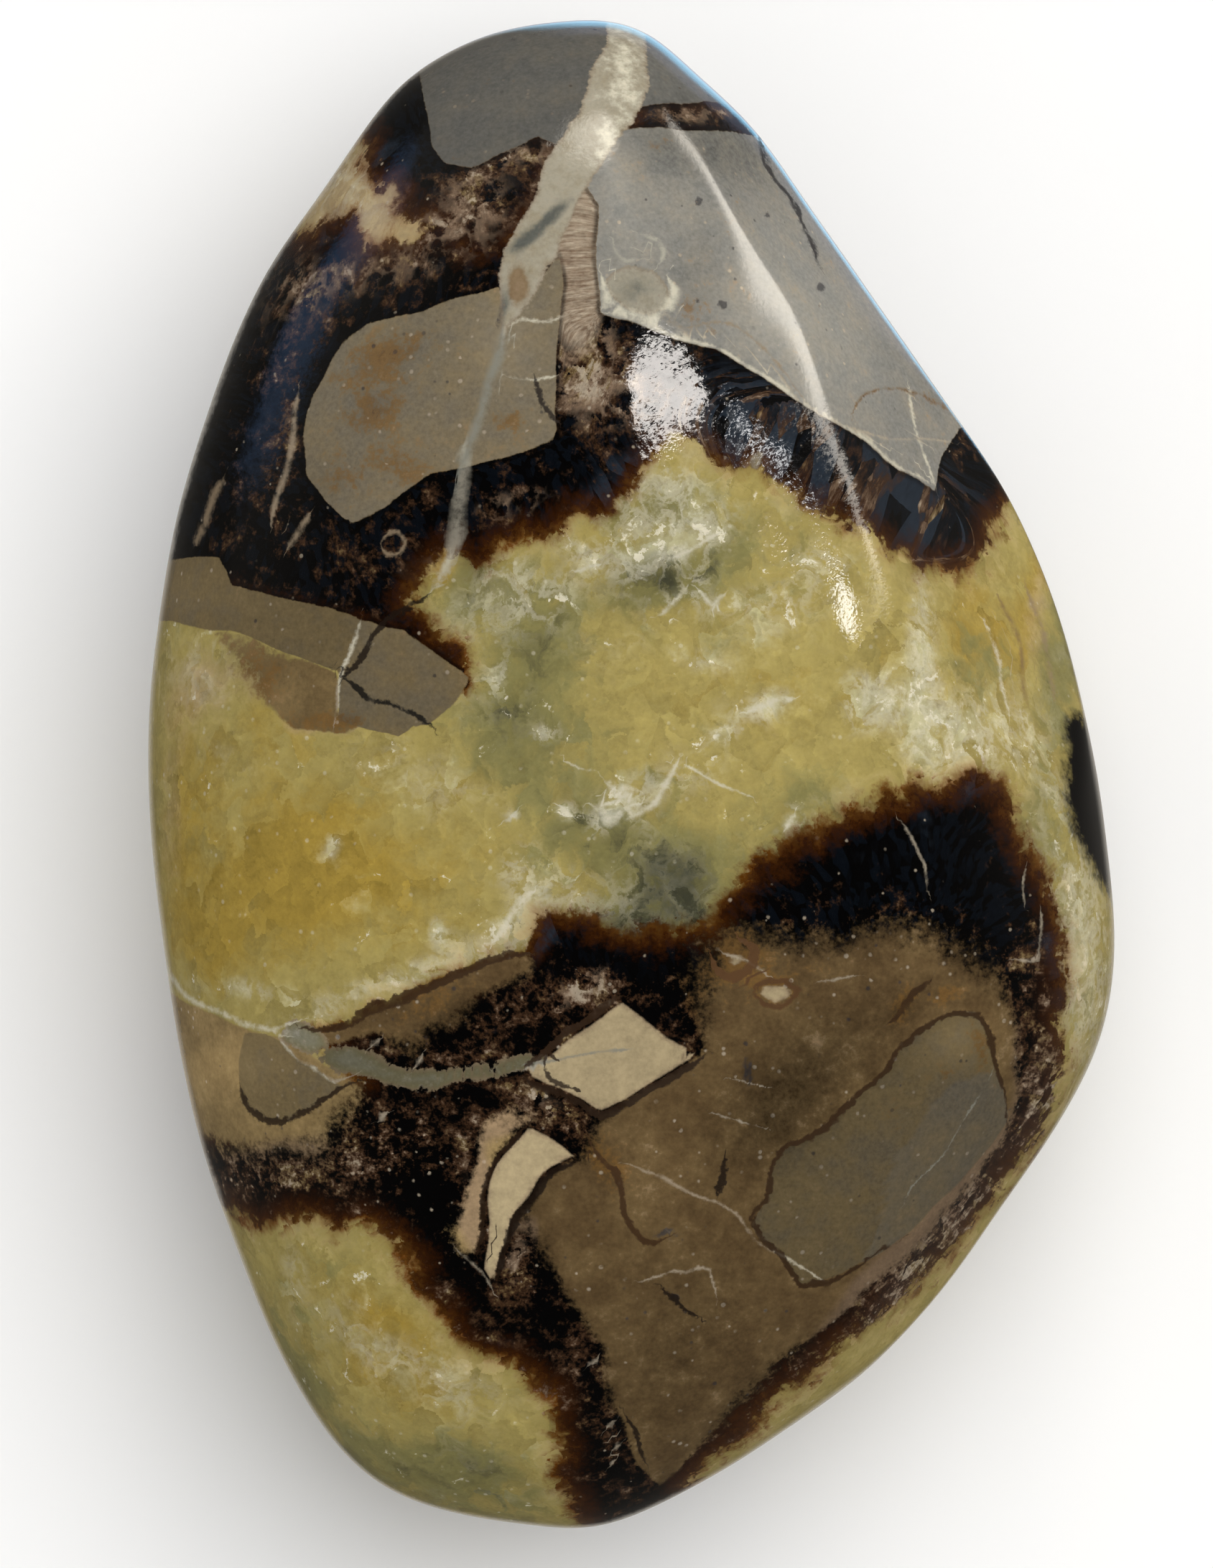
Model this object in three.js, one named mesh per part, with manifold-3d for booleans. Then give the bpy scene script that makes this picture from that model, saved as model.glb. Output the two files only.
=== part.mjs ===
// Septarian nodule: one polished, free-form stone, lying on a small flat ground on its back.
// Millimetres, +Z up. The origin is under the middle of the stone, on the surface that it lies on.
// The show face looks up, +Y points to the narrow end, and the long straight flanks are on +X.

import * as THREE from 'three';
import { mergeVertices } from 'three/addons/utils/BufferGeometryUtils.js';
import Module from 'manifold-3d';

// ---- driving dimensions -------------------------------------------------------------------

const CROWN_HEIGHT = 22; // girdle to the top of the show face
const BACK_DEPTH = 20.25; // girdle to the back, before the flat is ground
const FLAT_DEPTH = 0.25; // what the flat takes off the back
const GIRDLE_HEIGHT = BACK_DEPTH - FLAT_DEPTH;
const FULLNESS = 2.3; // 2 is an ellipse in section, more is squarer
const EDGE_SHARPNESS = 200; // how tightly a flank meets the dome, 2 is soft
const MESH_DETAIL = 14; // rows of triangles on each face of the starting icosahedron

// The middle of the dome, seen from above. The outline is star-shaped about it.
const POLE = new THREE.Vector2(-1.5, -2);

// The girdle, anticlockwise from the right flank.
const OUTLINE = [
  [33.6, -12], [33.1, -5], [32.4, 0], [30.1, 10], [25.8, 20], [20.4, 28], [15.6, 35],
  [12.1, 40], [8.4, 45], [4.3, 49], [1.3, 51.4], [-1.2, 52.3], [-4.5, 52.4], [-9.3, 51.6],
  [-13.1, 50], [-16, 48], [-18.6, 45], [-22, 40], [-25.2, 35], [-28.5, 28], [-31.1, 20],
  [-33, 10], [-33.6, 1], [-33.3, -6], [-32.2, -15], [-30.1, -25], [-26.7, -35], [-23.5, -42],
  [-21, -46], [-17.5, -49.4], [-12.5, -51.4], [-7, -52.3], [-3, -52.4], [1.5, -51], [10, -46.1],
  [15.7, -42], [19.8, -38], [25.9, -30], [29.3, -25], [31.9, -20],
];

// Flanks that were ground flatter than the dome: which way each faces, and how far out it lies
// from the middle of the girdle along that direction.
const FLANKS = [
  { facing: new THREE.Vector3(0.74, 0.51, 0.44), distance: 32.8 },
  { facing: new THREE.Vector3(0.76, 0.37, 0.53), distance: 29.5 },
  { facing: new THREE.Vector3(0.73, -0.57, 0.375), distance: 36.9 },
  { facing: new THREE.Vector3(-0.72, 0.36, -0.6), distance: 32.6 },
];

const STONE_COLOUR = 0x7d6a3c;

// ---- girdle -------------------------------------------------------------------------------

const FULL_TURN = 2 * Math.PI;

// Gives the girdle's radius about the pole at any angle, read off a closed curve.
function girdleRadius() {
  const points = OUTLINE.map(([x, y]) => new THREE.Vector3(x - POLE.x, y - POLE.y, 0));
  const curve = new THREE.CatmullRomCurve3(points, true, 'centripetal');
  const samples = curve.getPoints(OUTLINE.length * 24);
  const start = Math.atan2(samples[0].y, samples[0].x);
  const turnFrom = (x, y) => (Math.atan2(y, x) - start + 2 * FULL_TURN) % FULL_TURN;
  const turns = samples.map((p) => turnFrom(p.x, p.y));
  turns[0] = 0;
  turns[turns.length - 1] = FULL_TURN;
  return (x, y) => {
    const turn = turnFrom(x, y);
    const next = Math.max(1, turns.findIndex((t) => t >= turn));
    const share = (turn - turns[next - 1]) / (turns[next] - turns[next - 1]);
    return THREE.MathUtils.lerp(samples[next - 1].length(), samples[next].length(), share);
  };
}

// ---- stone --------------------------------------------------------------------------------

// Says how far out a point lies, as a share of the way to the surface: 1 is on it. The dome is
// a rounded box over the girdle, and each flank adds its plane, blended in at the edge.
function shareToSurface(point, radiusAt) {
  const across = Math.hypot(point.x, point.y) / radiusAt(point.x, point.y);
  const up = Math.abs(point.z) / (point.z > 0 ? CROWN_HEIGHT : BACK_DEPTH);
  const dome = (across ** FULLNESS + up ** FULLNESS) ** (1 / FULLNESS);
  let blend = dome ** EDGE_SHARPNESS;
  for (const { facing, distance } of FLANKS) {
    const plane = point.dot(facing) / facing.length() / distance;
    blend += Math.max(plane, 0) ** EDGE_SHARPNESS;
  }
  return blend ** (1 / EDGE_SHARPNESS);
}

// An icosahedron's fine net, stretched to the stone's proportions and pushed to its surface.
function stoneSurface() {
  const geometry = new THREE.IcosahedronGeometry(1, MESH_DETAIL);
  geometry.deleteAttribute('normal');
  geometry.deleteAttribute('uv');
  const merged = mergeVertices(geometry, 1e-5);
  const place = merged.attributes.position;
  const radiusAt = girdleRadius();
  const stretch = new THREE.Vector3(33.6, 52.4, BACK_DEPTH);
  const point = new THREE.Vector3();
  for (let i = 0; i < place.count; i += 1) {
    point.fromBufferAttribute(place, i).multiply(stretch);
    point.divideScalar(shareToSurface(point, radiusAt));
    point.add(new THREE.Vector3(POLE.x, POLE.y, GIRDLE_HEIGHT));
    place.setXYZ(i, point.x, point.y, point.z);
  }
  return merged;
}

// ---- the flat -----------------------------------------------------------------------------

const wasm = await Module();
wasm.setup();

function toSolid(geometry) {
  return new wasm.Manifold(new wasm.Mesh({
    numProp: 3,
    vertProperties: new Float32Array(geometry.attributes.position.array),
    triVerts: new Uint32Array(geometry.index.array),
  }));
}

function toGeometry(solid) {
  const mesh = solid.getMesh();
  const geometry = new THREE.BufferGeometry();
  geometry.setAttribute('position', new THREE.BufferAttribute(mesh.vertProperties, 3));
  geometry.setIndex(new THREE.BufferAttribute(mesh.triVerts, 1));
  return geometry;
}

// A slab whose top is the ground, wide enough to take off all that would reach below it.
function groundSlab() {
  const side = 80;
  const thickness = 10;
  const slab = new THREE.BoxGeometry(side, side, thickness);
  slab.deleteAttribute('normal');
  slab.deleteAttribute('uv');
  slab.translate(POLE.x, POLE.y, -thickness / 2);
  return mergeVertices(slab);
}

// ---- the part -----------------------------------------------------------------------------

function nodule() {
  const solid = toSolid(stoneSurface()).subtract(toSolid(groundSlab()));
  const polishedStone = new THREE.MeshStandardMaterial({
    color: STONE_COLOUR,
    roughness: 0.2,
    metalness: 0,
  });
  const mesh = new THREE.Mesh(toGeometry(solid), polishedStone);
  mesh.name = 'nodule';
  return mesh;
}

const part = new THREE.Group();
part.add(nodule());

export default part;
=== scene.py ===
"""A polished septarian nodule, lying on the small flat on its back.

The stone is one closed surface, worked out from the same few sizes as its solid. What shows on it
is laid out as plain outlines, in millimetres, on a plan of the show face: +X right, +Y to the
narrow end. Each corner of the surface's net gets its depth inside those outlines, and the material
turns the depths into crisp edges, crystals, cracks and veins.
"""

from collections import namedtuple

import bpy
import numpy as np
from bpy.props import FloatProperty, FloatVectorProperty, IntProperty, PointerProperty
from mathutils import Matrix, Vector


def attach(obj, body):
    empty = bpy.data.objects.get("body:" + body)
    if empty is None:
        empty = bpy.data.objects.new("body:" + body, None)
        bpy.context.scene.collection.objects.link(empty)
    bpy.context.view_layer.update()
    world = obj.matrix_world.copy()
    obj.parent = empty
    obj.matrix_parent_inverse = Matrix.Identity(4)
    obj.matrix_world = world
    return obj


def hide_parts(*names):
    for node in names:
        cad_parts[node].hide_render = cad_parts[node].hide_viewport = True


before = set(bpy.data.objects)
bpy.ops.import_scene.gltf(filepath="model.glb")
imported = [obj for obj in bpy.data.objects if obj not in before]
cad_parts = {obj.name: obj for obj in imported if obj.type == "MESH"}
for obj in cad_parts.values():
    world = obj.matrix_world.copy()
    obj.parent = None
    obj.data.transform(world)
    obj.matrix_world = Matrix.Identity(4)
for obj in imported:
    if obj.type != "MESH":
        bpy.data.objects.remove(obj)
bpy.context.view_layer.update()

bl_info = {
    "name": "Septarian nodule",
    "version": (1, 0, 0),
    "blender": (4, 5, 0),
    "location": "3D View > Sidebar > Nodule",
    "description": "Makes a polished septarian nodule and a plain studio round it",
    "category": "Object",
}

MM = 0.001
FULL_TURN = 2 * np.pi

# ---- the stone's shape, in millimetres ----------------------------------------------------

# The middle of the dome, seen from above.
POLE = np.array([-1.5, -2.0])

# The girdle, anticlockwise from the right flank.
OUTLINE = [
    (33.6, -12), (33.1, -5), (32.4, 0), (30.1, 10), (25.8, 20), (20.4, 28), (15.6, 35),
    (12.1, 40), (8.4, 45), (4.3, 49), (1.3, 51.4), (-1.2, 52.3), (-4.5, 52.4), (-9.3, 51.6),
    (-13.1, 50), (-16, 48), (-18.6, 45), (-22, 40), (-25.2, 35), (-28.5, 28), (-31.1, 20),
    (-33, 10), (-33.6, 1), (-33.3, -6), (-32.2, -15), (-30.1, -25), (-26.7, -35), (-23.5, -42),
    (-21, -46), (-17.5, -49.4), (-12.5, -51.4), (-7, -52.3), (-3, -52.4), (1.5, -51), (10, -46.1),
    (15.7, -42), (19.8, -38), (25.9, -30), (29.3, -25), (31.9, -20),
]

# Flanks that were ground flatter than the dome: which way each faces, and how far out it lies.
FLANKS = [
    ((0.74, 0.51, 0.44), 32.8),
    ((0.76, 0.37, 0.53), 29.5),
    ((0.73, -0.57, 0.375), 36.9),
    ((-0.72, 0.36, -0.6), 32.6),
]

# Half the width, length and height of the ellipsoid that the net is first laid on.
HALF_SIZES = np.array([33.6, 52.4, 21.0])
LONG_SWELL = 26.0  # lengths of the waves that hand polishing leaves
SHORT_SWELL = 11.0
SETTLE = 0.02  # how softly the back meets the flat

# ---- the plan of the show face, in millimetres --------------------------------------------
# Outlines that reach the girdle run on past it, and there they are what shows on the underside.

# Each block is its tone, its lightness and its outline.

# Hard grey mudstone. Tone runs from 0, a cool grey, to 1, a warm one.
GREY_BLOCKS = [
    (0.1, 0.5, [  # cap
        (-14.8, 49), (-14.6, 47), (-13.9, 44), (-13, 42.6), (-11, 42.2), (-8.3, 43.5), (-6.5, 44.5),
        (-4.6, 43.8), (-2.8, 46), (-1.5, 49.5), (-1, 51.8), (0, 64), (-26, 64), (-17, 52)]),
    (0.0, 0.62, [  # sliver beside the vein
        (-0.2, 46.2), (0, 48), (-0.2, 51), (0, 64), (14, 56), (9, 47.5), (7.2, 46.3), (5, 46.9),
        (2.5, 46.7)]),
    (0.1, 1.12, [  # the large one, top right
        (-1.4, 44.8), (2, 45), (5, 44.9), (8.5, 44.3), (12, 47), (18, 48), (38, 34), (28, 26),
        (22.8, 24), (21.6, 22), (21, 19.6), (19.5, 20.6), (18.5, 21.3), (16.5, 23), (13.5, 24.8),
        (11.5, 26), (9, 27.6), (6.2, 29.2), (4, 30), (0, 31.5), (-2.2, 31.9), (-2.4, 35),
        (-2.4, 39.5), (-3.4, 41), (-2.6, 43.3)]),
    (0.7, 0.93, [  # left of the middle
        (-20.8, 29), (-20, 30.1), (-18.2, 31.4), (-15, 32), (-12.5, 33.2), (-9.3, 33.9),
        (-8.5, 31.5), (-7, 33), (-6.1, 35), (-5.1, 36.2), (-5, 35), (-4.9, 31.5), (-5.3, 29),
        (-5.3, 25), (-5.1, 23.4), (-6, 23), (-9, 22.1), (-11.4, 21.3), (-14, 21), (-15, 20.2),
        (-17, 18.6), (-19.6, 17.5), (-21.3, 18.9), (-22.6, 21), (-22.9, 23.4), (-22, 26.6)]),
    (1.0, 0.72, [  # strip to the left edge
        (-30, 15.1), (-28.7, 15.1), (-28.2, 14.3), (-27.8, 13.2), (-24.5, 12.3), (-21, 11.5),
        (-18.9, 10.8), (-19.3, 9.2), (-20.3, 7), (-23, 8.1), (-25.5, 9), (-28, 9.9), (-32, 10.6),
        (-48, 10), (-48, 20), (-33, 14.4)]),
    (0.85, 0.76, [  # the strip's inner end
        (-18.9, 10.8), (-17.4, 10.2), (-16, 10), (-14.2, 8.9), (-13, 8), (-11.3, 6.5), (-12.6, 4.9),
        (-14, 3.4), (-15.2, 3.3), (-16.2, 2.4), (-18, 2.9), (-20.6, 3.8), (-20.3, 7), (-19.3, 9.2)]),
    (1.0, 0.9, [  # small wedge, lower left
        (-27, -17.8), (-25.5, -18.1), (-24.2, -19), (-23, -20.1), (-22, -20.3), (-20.8, -21.5),
        (-20, -21.9), (-21.5, -22.9), (-22.8, -23.7), (-24, -24.3), (-25.2, -24.2), (-26.4, -23.6),
        (-27, -22.8), (-27.2, -20)]),
    (0.95, 0.6, [  # greenish heart of the brown block
        (10.4, -26.2), (12.5, -25.3), (14.3, -23.7), (15.8, -22.3), (17.2, -21), (18.6, -19.2),
        (20.3, -17.7), (22.3, -16.7), (24, -16.5), (25, -18.3), (25.5, -20.7), (24.6, -21.2),
        (21.4, -23.6), (18.9, -27), (17.9, -30.4), (17.2, -33.4), (14.5, -34.8), (11.7, -35.6),
        (10.9, -34.2), (8.8, -32.2), (8.2, -31.2), (9.4, -29.5), (9.7, -27.6)]),
    (0.7, 0.57, [  # its cooler half
        (25.2, -19.3), (25.5, -20.7), (26.1, -22.5), (26.3, -24.2), (25, -26), (22, -29.3),
        (18, -33), (16, -34.2), (16.8, -30.2), (17.8, -26.4), (20.3, -22.8), (22.4, -20.6)]),
]

# Softer brown mudstone. Tone runs from 0, brown, to 1, tan.
BROWN_BLOCKS = [
    (0.1, 1.0, [  # the large one, lower right
        (-2.4, -24.2), (0, -22.4), (3, -20.8), (4.9, -19.6), (4.8, -17), (4.2, -15), (4.6, -13.7),
        (5, -12.3), (5.5, -11), (7, -10.4), (9, -11), (12, -11.5), (15, -11), (18, -10.3),
        (20.5, -10.6), (23, -12), (25.5, -14), (26.6, -17), (27, -20), (27, -22.5), (26, -25.5),
        (24.5, -27.5), (22.5, -30), (20, -33), (17, -35.7), (14, -38), (11, -40.5), (8, -43.5),
        (5, -46.5), (3, -48.6), (1.8, -49.4), (0.4, -48.2), (-0.3, -46), (-1.2, -44.2),
        (-1.8, -42), (-2, -40), (-3.4, -38), (-4.8, -36), (-5.7, -33.8), (-6.6, -32.6),
        (-8.1, -31.9), (-7.5, -30), (-6, -28.4), (-4, -27), (-3, -25.8)]),
    (0.05, 1.05, [  # wedge under the dark line
        (-22, -18), (-20, -17.4), (-18, -16.6), (-15, -15.3), (-12, -13.9), (-10, -13), (-7.3, -12.5),
        (-6.6, -13.6), (-8, -14.5), (-10, -15), (-11.2, -15.8), (-12, -17), (-13, -17.5),
        (-14.3, -18), (-14.6, -19), (-15.5, -19.4), (-17, -18.8), (-17.5, -18.2), (-19, -18.3),
        (-21, -18.9)]),
    (0.8, 1.35, [  # tan piece at the left edge
        (-25.5, -18.2), (-27.5, -17.4), (-29, -16.7), (-31, -15.9), (-33, -14.7), (-50, -13),
        (-46, -34), (-31, -24.6), (-28.5, -26), (-27, -26.5), (-24, -26.6), (-21.5, -26.8),
        (-20.5, -24.5), (-19, -22.7), (-18.5, -21.6), (-20, -21), (-21.8, -19.9), (-23.5, -18.8)]),
    (0.9, 1.75, [  # fringe of the lower cream fragment
        (-7, -23.7), (-8.4, -23.3), (-10, -24.1), (-10.7, -25.6), (-10.7, -26.8), (-11.3, -28.4),
        (-11.7, -30), (-12.3, -31.9), (-11.9, -33.4), (-10.9, -33.2), (-10.6, -30.8), (-10.3, -28.6),
        (-9.6, -26.8), (-8.4, -25)]),
    (0.6, 1.0, [  # rusty wedge under the grey strip
        (-29, 10), (-25.5, 9), (-23, 8.1), (-20.3, 7), (-20.6, 4.2), (-18.4, 3.3), (-20, 2.8),
        (-23.3, 3.1), (-25.5, 4.8), (-27.3, 7.2)]),
]

# What the crystal lining fills, under the blocks that lie in it.
LINING = [
    [  # between the sliver and the large grey block
        (-1.5, 43.5), (-0.5, 46), (0.6, 48.3), (3, 48.2), (7, 47.8), (9, 49.5), (17, 58),
        (22, 50), (12, 42.6), (8, 42.4), (4, 43.4), (0.5, 43.2)],
    [  # round the cap
        (-10.5, 45.5), (-12.3, 47), (-12.8, 49.5), (-15, 53), (-26, 66), (-36, 58), (-20, 45.5),
        (-18.6, 44.2), (-18.6, 43), (-18.8, 42), (-18, 41), (-17.4, 39.8), (-16.9, 41),
        (-16.6, 38.9), (-15.2, 38.2), (-13.4, 38.4), (-12, 36), (-9, 34), (-7.5, 37), (-5.5, 41),
        (-4, 44), (-5, 46.5), (-8, 45.8)],
    [  # the left, round the middle block, and under the large grey one to the right edge
        (-11.5, 37.5), (-13.2, 39), (-15.3, 37.4), (-18.3, 36.9), (-19.2, 38.9), (-20.6, 39.4),
        (-23, 37.6), (-26, 38.5), (-44, 50), (-52, 18), (-34, 13), (-28, 12), (-24, 10.8),
        (-17, 9), (-14, 7.6), (-11.4, 6.2), (-11.6, 8.6), (-13.8, 10.6), (-15.2, 12),
        (-14.3, 14), (-12.4, 15.6), (-11, 13.8), (-9.7, 15), (-9.3, 16), (-8, 16.5), (-6, 16.2),
        (-5.2, 16.3), (-4.5, 17.3), (-3.3, 18), (-1.6, 17.9), (-1, 18.8), (0, 19.3), (0.8, 20.8),
        (1.5, 22.5), (3, 23.6), (4.2, 22.6), (6, 21.3), (7.3, 21), (8.7, 21.5), (10, 20),
        (11.5, 19.3), (12, 18.8), (13.5, 18.2), (14.5, 17.8), (15, 17), (16, 16.9), (17, 16.2),
        (18, 15.2), (18.8, 15.3), (19.5, 14.2), (21, 13.9), (21.5, 14.5), (22.9, 13.6),
        (23.5, 14.7), (24.6, 14.6), (25.2, 16.2), (25.1, 17.2), (25.8, 18), (27, 19), (44, 26),
        (40, 36), (22, 27), (10, 30), (2, 33), (0, 41), (-5, 42), (-8, 38)],
    [  # all round the brown blocks, from the middle down to the lower edge
        (-7.4, -11.6), (-6.3, -9.5), (-5, -9.6), (-3.2, -9.6), (-2, -10.3), (0, -11), (2, -10.9),
        (4.5, -10.6), (5.3, -10.2), (6, -9), (7.2, -8), (8.8, -6), (9.8, -5.9), (10.5, -5),
        (11.8, -3.8), (13, -4), (14.2, -3), (15.5, -2), (16.5, -2.2), (17.8, -1), (19, -1.6),
        (19.5, -0.8), (22, -0.8), (22.5, -0.2), (24.2, 0.5), (25.2, -0.8), (26, -0.4),
        (26.8, -1.8), (26.5, -2.6), (27.3, -4.5), (28, -6), (29.2, -7.2), (29.5, -9),
        (30.1, -10.5), (30.2, -13), (30.6, -15), (30.1, -18), (30.4, -19.6), (30, -21.5),
        (29.2, -24), (28, -26), (26.5, -28), (24.5, -30.5), (22.5, -33), (19, -36.5),
        (15, -39.8), (11, -43), (8.5, -45.5), (5.5, -48), (4, -49.6), (12, -66), (-6, -70),
        (-3.5, -52.4), (-4.8, -49.8), (-5.2, -49), (-5, -47), (-5.5, -45), (-5.2, -43.3),
        (-6.9, -42.5), (-8.4, -41), (-10.3, -40.7), (-12.2, -39.5), (-13, -37.8), (-14.7, -36.6),
        (-15.5, -35), (-15.2, -34), (-16.5, -32.8), (-17.7, -31.6), (-19, -31), (-20.6, -32),
        (-21.8, -31), (-24, -31), (-26, -31.8), (-28.3, -30.2), (-42, -42), (-46, -30),
        (-29.8, -24.5), (-26, -24), (-22, -22), (-19, -21), (-21, -19.5), (-22.3, -18.1),
        (-20, -17.2), (-15, -15.2), (-12, -13.8), (-10, -12.9)],
]

# The cream vein and the cream fragments. Tone runs from 0, tan cream, past grey to 1, grey-green.
CREAM_BLOCKS = [
    (0.4, 1.0, [  # main vein, down from the top edge
        (-1.9, 51.2), (-3, 48), (-3.7, 46.5), (-5, 44.2), (-5.7, 43), (-6.8, 40.2), (-8, 38),
        (-8.8, 36.8), (-9.3, 34.5), (-9.1, 31.5), (-8.9, 29.5), (-8.3, 31.2), (-7.5, 32.2),
        (-6.8, 33), (-6.1, 35), (-5.2, 36), (-4.2, 38.5), (-3.7, 40), (-3, 41), (-1.8, 42.6),
        (-0.5, 44.7), (0.3, 45.8), (0.9, 46.8), (1.3, 48), (1, 51), (2.5, 64), (-2.5, 64)]),
    (0.45, 0.9, [  # shell in the large grey block
        (-1.9, 34.4), (-1, 35.1), (0.4, 35.2), (1.7, 34.9), (2.6, 34), (2.8, 33), (2.2, 32.1),
        (1, 31.8), (-0.4, 32.2), (-1.5, 33.1)]),
    (0.0, 0.5, [  # gold chip in the lining
        (8, 21.5), (8.5, 22.6), (9.2, 22.5), (8.9, 21.2)]),
    (0.0, 1.06, [  # upper fragment
        (-7.2, -20.8), (-4.7, -18.6), (-2.5, -17.3), (-0.6, -15.9), (0.5, -16.8), (2.4, -18.3),
        (4.5, -19.7), (1.2, -21.5), (-2.1, -23.5), (-4.6, -22.2)]),
    (0.0, 1.25, [  # lower fragment
        (-7.2, -24.6), (-6, -25.2), (-5, -25.8), (-3.9, -26.6), (-5, -27.1), (-6, -27.8),
        (-7, -29), (-7.8, -30), (-8.4, -31), (-8.6, -32.5), (-9, -33.4), (-9.6, -35.6),
        (-10.2, -34.4), (-10, -33), (-10, -31), (-10, -29.5), (-9.8, -28), (-9.3, -27),
        (-8.3, -26)]),
    (0.0, 1.0, [  # eye in the brown block
        (8.7, -15.1), (9.4, -14.7), (10.6, -14.7), (11.3, -15.1), (10.8, -15.6), (10, -15.9),
        (9.2, -15.6)]),
    (0.0, 0.8, [  # speck beside the eye
        (6.5, -12.8), (7.2, -12.4), (8, -12.7), (7.6, -13.3), (6.9, -13.4)]),
    (0.9, 1.35, [  # chip at the end of the grey-green vein
        (-24.5, -17.9), (-23.5, -17.1), (-22.3, -17.4), (-21.3, -18), (-21, -19), (-22, -19.7),
        (-23.3, -19.4), (-24.3, -18.8)]),
    (1.0, 0.9, [  # grey-green vein
        (-22, -19.7), (-21, -19), (-19.5, -18.9), (-18.3, -19.4), (-17, -20), (-15.5, -20.4),
        (-13, -20.6), (-11, -20.2), (-9, -19.9), (-7.5, -19.4), (-6, -19.5), (-5.5, -19.9),
        (-7.2, -20.6), (-9, -21.1), (-10.5, -21.2), (-12, -21.4), (-13.5, -22.2), (-14.8, -21.9),
        (-17.5, -21.3), (-20.5, -20.8)]),
]

# Each crack is its greatest width, its tone and the points of its line.

# Dark cracks. Tone runs from 0, black, to 1, rust.
DARK_CRACKS = [
    # over the wedge
    (0.62, 0.42, [(-23, -17.7), (-22, -17.8), (-20, -17.3), (-18, -16.5), (-16, -15.7),
        (-15, -15.3), (-13, -14.5), (-12, -13.9), (-10, -12.9), (-8, -12.5), (-6.6, -12.4)]),
    # under the small wedge at the lower left
    (0.3, 0.2, [(-27.1, -21.5), (-27, -22.8), (-26.4, -23.6), (-25.5, -24.1), (-24.4, -24.3),
        (-22.5, -23.5), (-21, -22.6), (-20, -21.8), (-19, -21.4), (-18.2, -21.4)]),
    # round the greenish heart of the brown block
    (0.36, 0.35, [(26.3, -25), (26.2, -23.5), (25.9, -21.8), (25.4, -20.3), (25, -18.3),
        (24.2, -16.8), (22.3, -16.7), (20.3, -17.7), (18.6, -19.2), (17.2, -21), (15.8, -22.3),
        (14.3, -23.7), (12.5, -25.3), (10.4, -26.1), (9.8, -27.6), (9.5, -29.5), (8.2, -30.8),
        (9.2, -32.4), (10.4, -33.5), (11, -34.6), (11.8, -35.7), (13.5, -35.4), (15.5, -34.5),
        (16.8, -33.6), (19, -32.2)]),
    # short ones in the brown block
    (0.43, 0.5, [(-3, -25.4), (-2.2, -26.6), (-1.2, -27.8), (-0.6, -29), (-0.5, -30.4), (0, -31.6),
        (0.8, -32.5), (1.6, -32.6), (2.6, -32.1)]),
    (0.36, 0.1, [(6.5, -26.6), (6.4, -28), (6, -29.4)]),
    # in the block left of the middle
    (0.22, 0.1, [(-7, 27.6), (-6.4, 26.1), (-5.2, 24.3)]),
    # through the inner end of the strip
    (0.24, 0.0, [(-20.3, 7), (-18.5, 5.5), (-16.6, 4.9), (-15.2, 4.2), (-13.7, 3.2)]),
    # down the large grey block
    (0.22, 0.1, [(8.6, 44.8), (9.6, 42.6), (10.4, 41), (11.4, 39.2), (13.4, 35.2)]),
    # low in the brown block
    (0.29, 0.1, [(2.1, -35.9), (3, -36.6), (3.7, -37.3), (4.5, -37.9)]),
    # round the upper cream fragment
    (0.5, 0.2, [(5.4, -19.5), (4.4, -20.2), (1.2, -21.9), (-2.1, -23.9), (-4.6, -22.6),
        (-7.6, -21)]),
    (0.5, 0.3, [(-7.4, -20.4), (-4.9, -18.2), (-2.7, -16.9), (-0.6, -15.4)]),
    (0.3, 0.2, [(-6.1, -20.5), (-5.4, -21.5), (-4.3, -22)]),
    # on both sides of the lower one
    (0.36, 0.2, [(-7, -24.2), (-8.3, -25.7), (-9.5, -27), (-10.2, -28.5), (-10.4, -30),
        (-10.5, -32), (-10.7, -33.6)]),
    (0.4, 0.1, [(-3.6, -26.8), (-5, -27.5), (-6.3, -28.6), (-7.4, -29.9), (-8.2, -31.1),
        (-8.6, -32.5), (-9, -33.9), (-9.3, -35.8)]),
    # over the greenish heart, and at the lower tip of the brown block
    (0.4, 0.35, [(17.9, -17.4), (18.8, -16.4), (19.6, -15.3), (20.7, -14.1)]),
    (0.22, 0.1, [(-0.6, -44.5), (0.4, -46), (0.9, -48)]),
    # across the strip
    (0.34, 0.1, [(-14.2, 12.6), (-15.5, 11.6), (-17.2, 10.6), (-18.4, 9), (-19.4, 7.4),
        (-20.4, 6.8)]),
    # round the eye, and round the speck beside it
    (0.3, 0.9, [(8.3, -15.2), (9.3, -14.4), (10.6, -14.4), (11.6, -15.1), (10.8, -16), (9.4, -16.2),
        (8.4, -15.3)]),
    (0.6, 1.0, [(5.4, -12.4), (5.8, -13.8), (7, -14.4), (8.3, -13.6), (8.6, -12.2), (7.4, -11.3)]),
]

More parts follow.
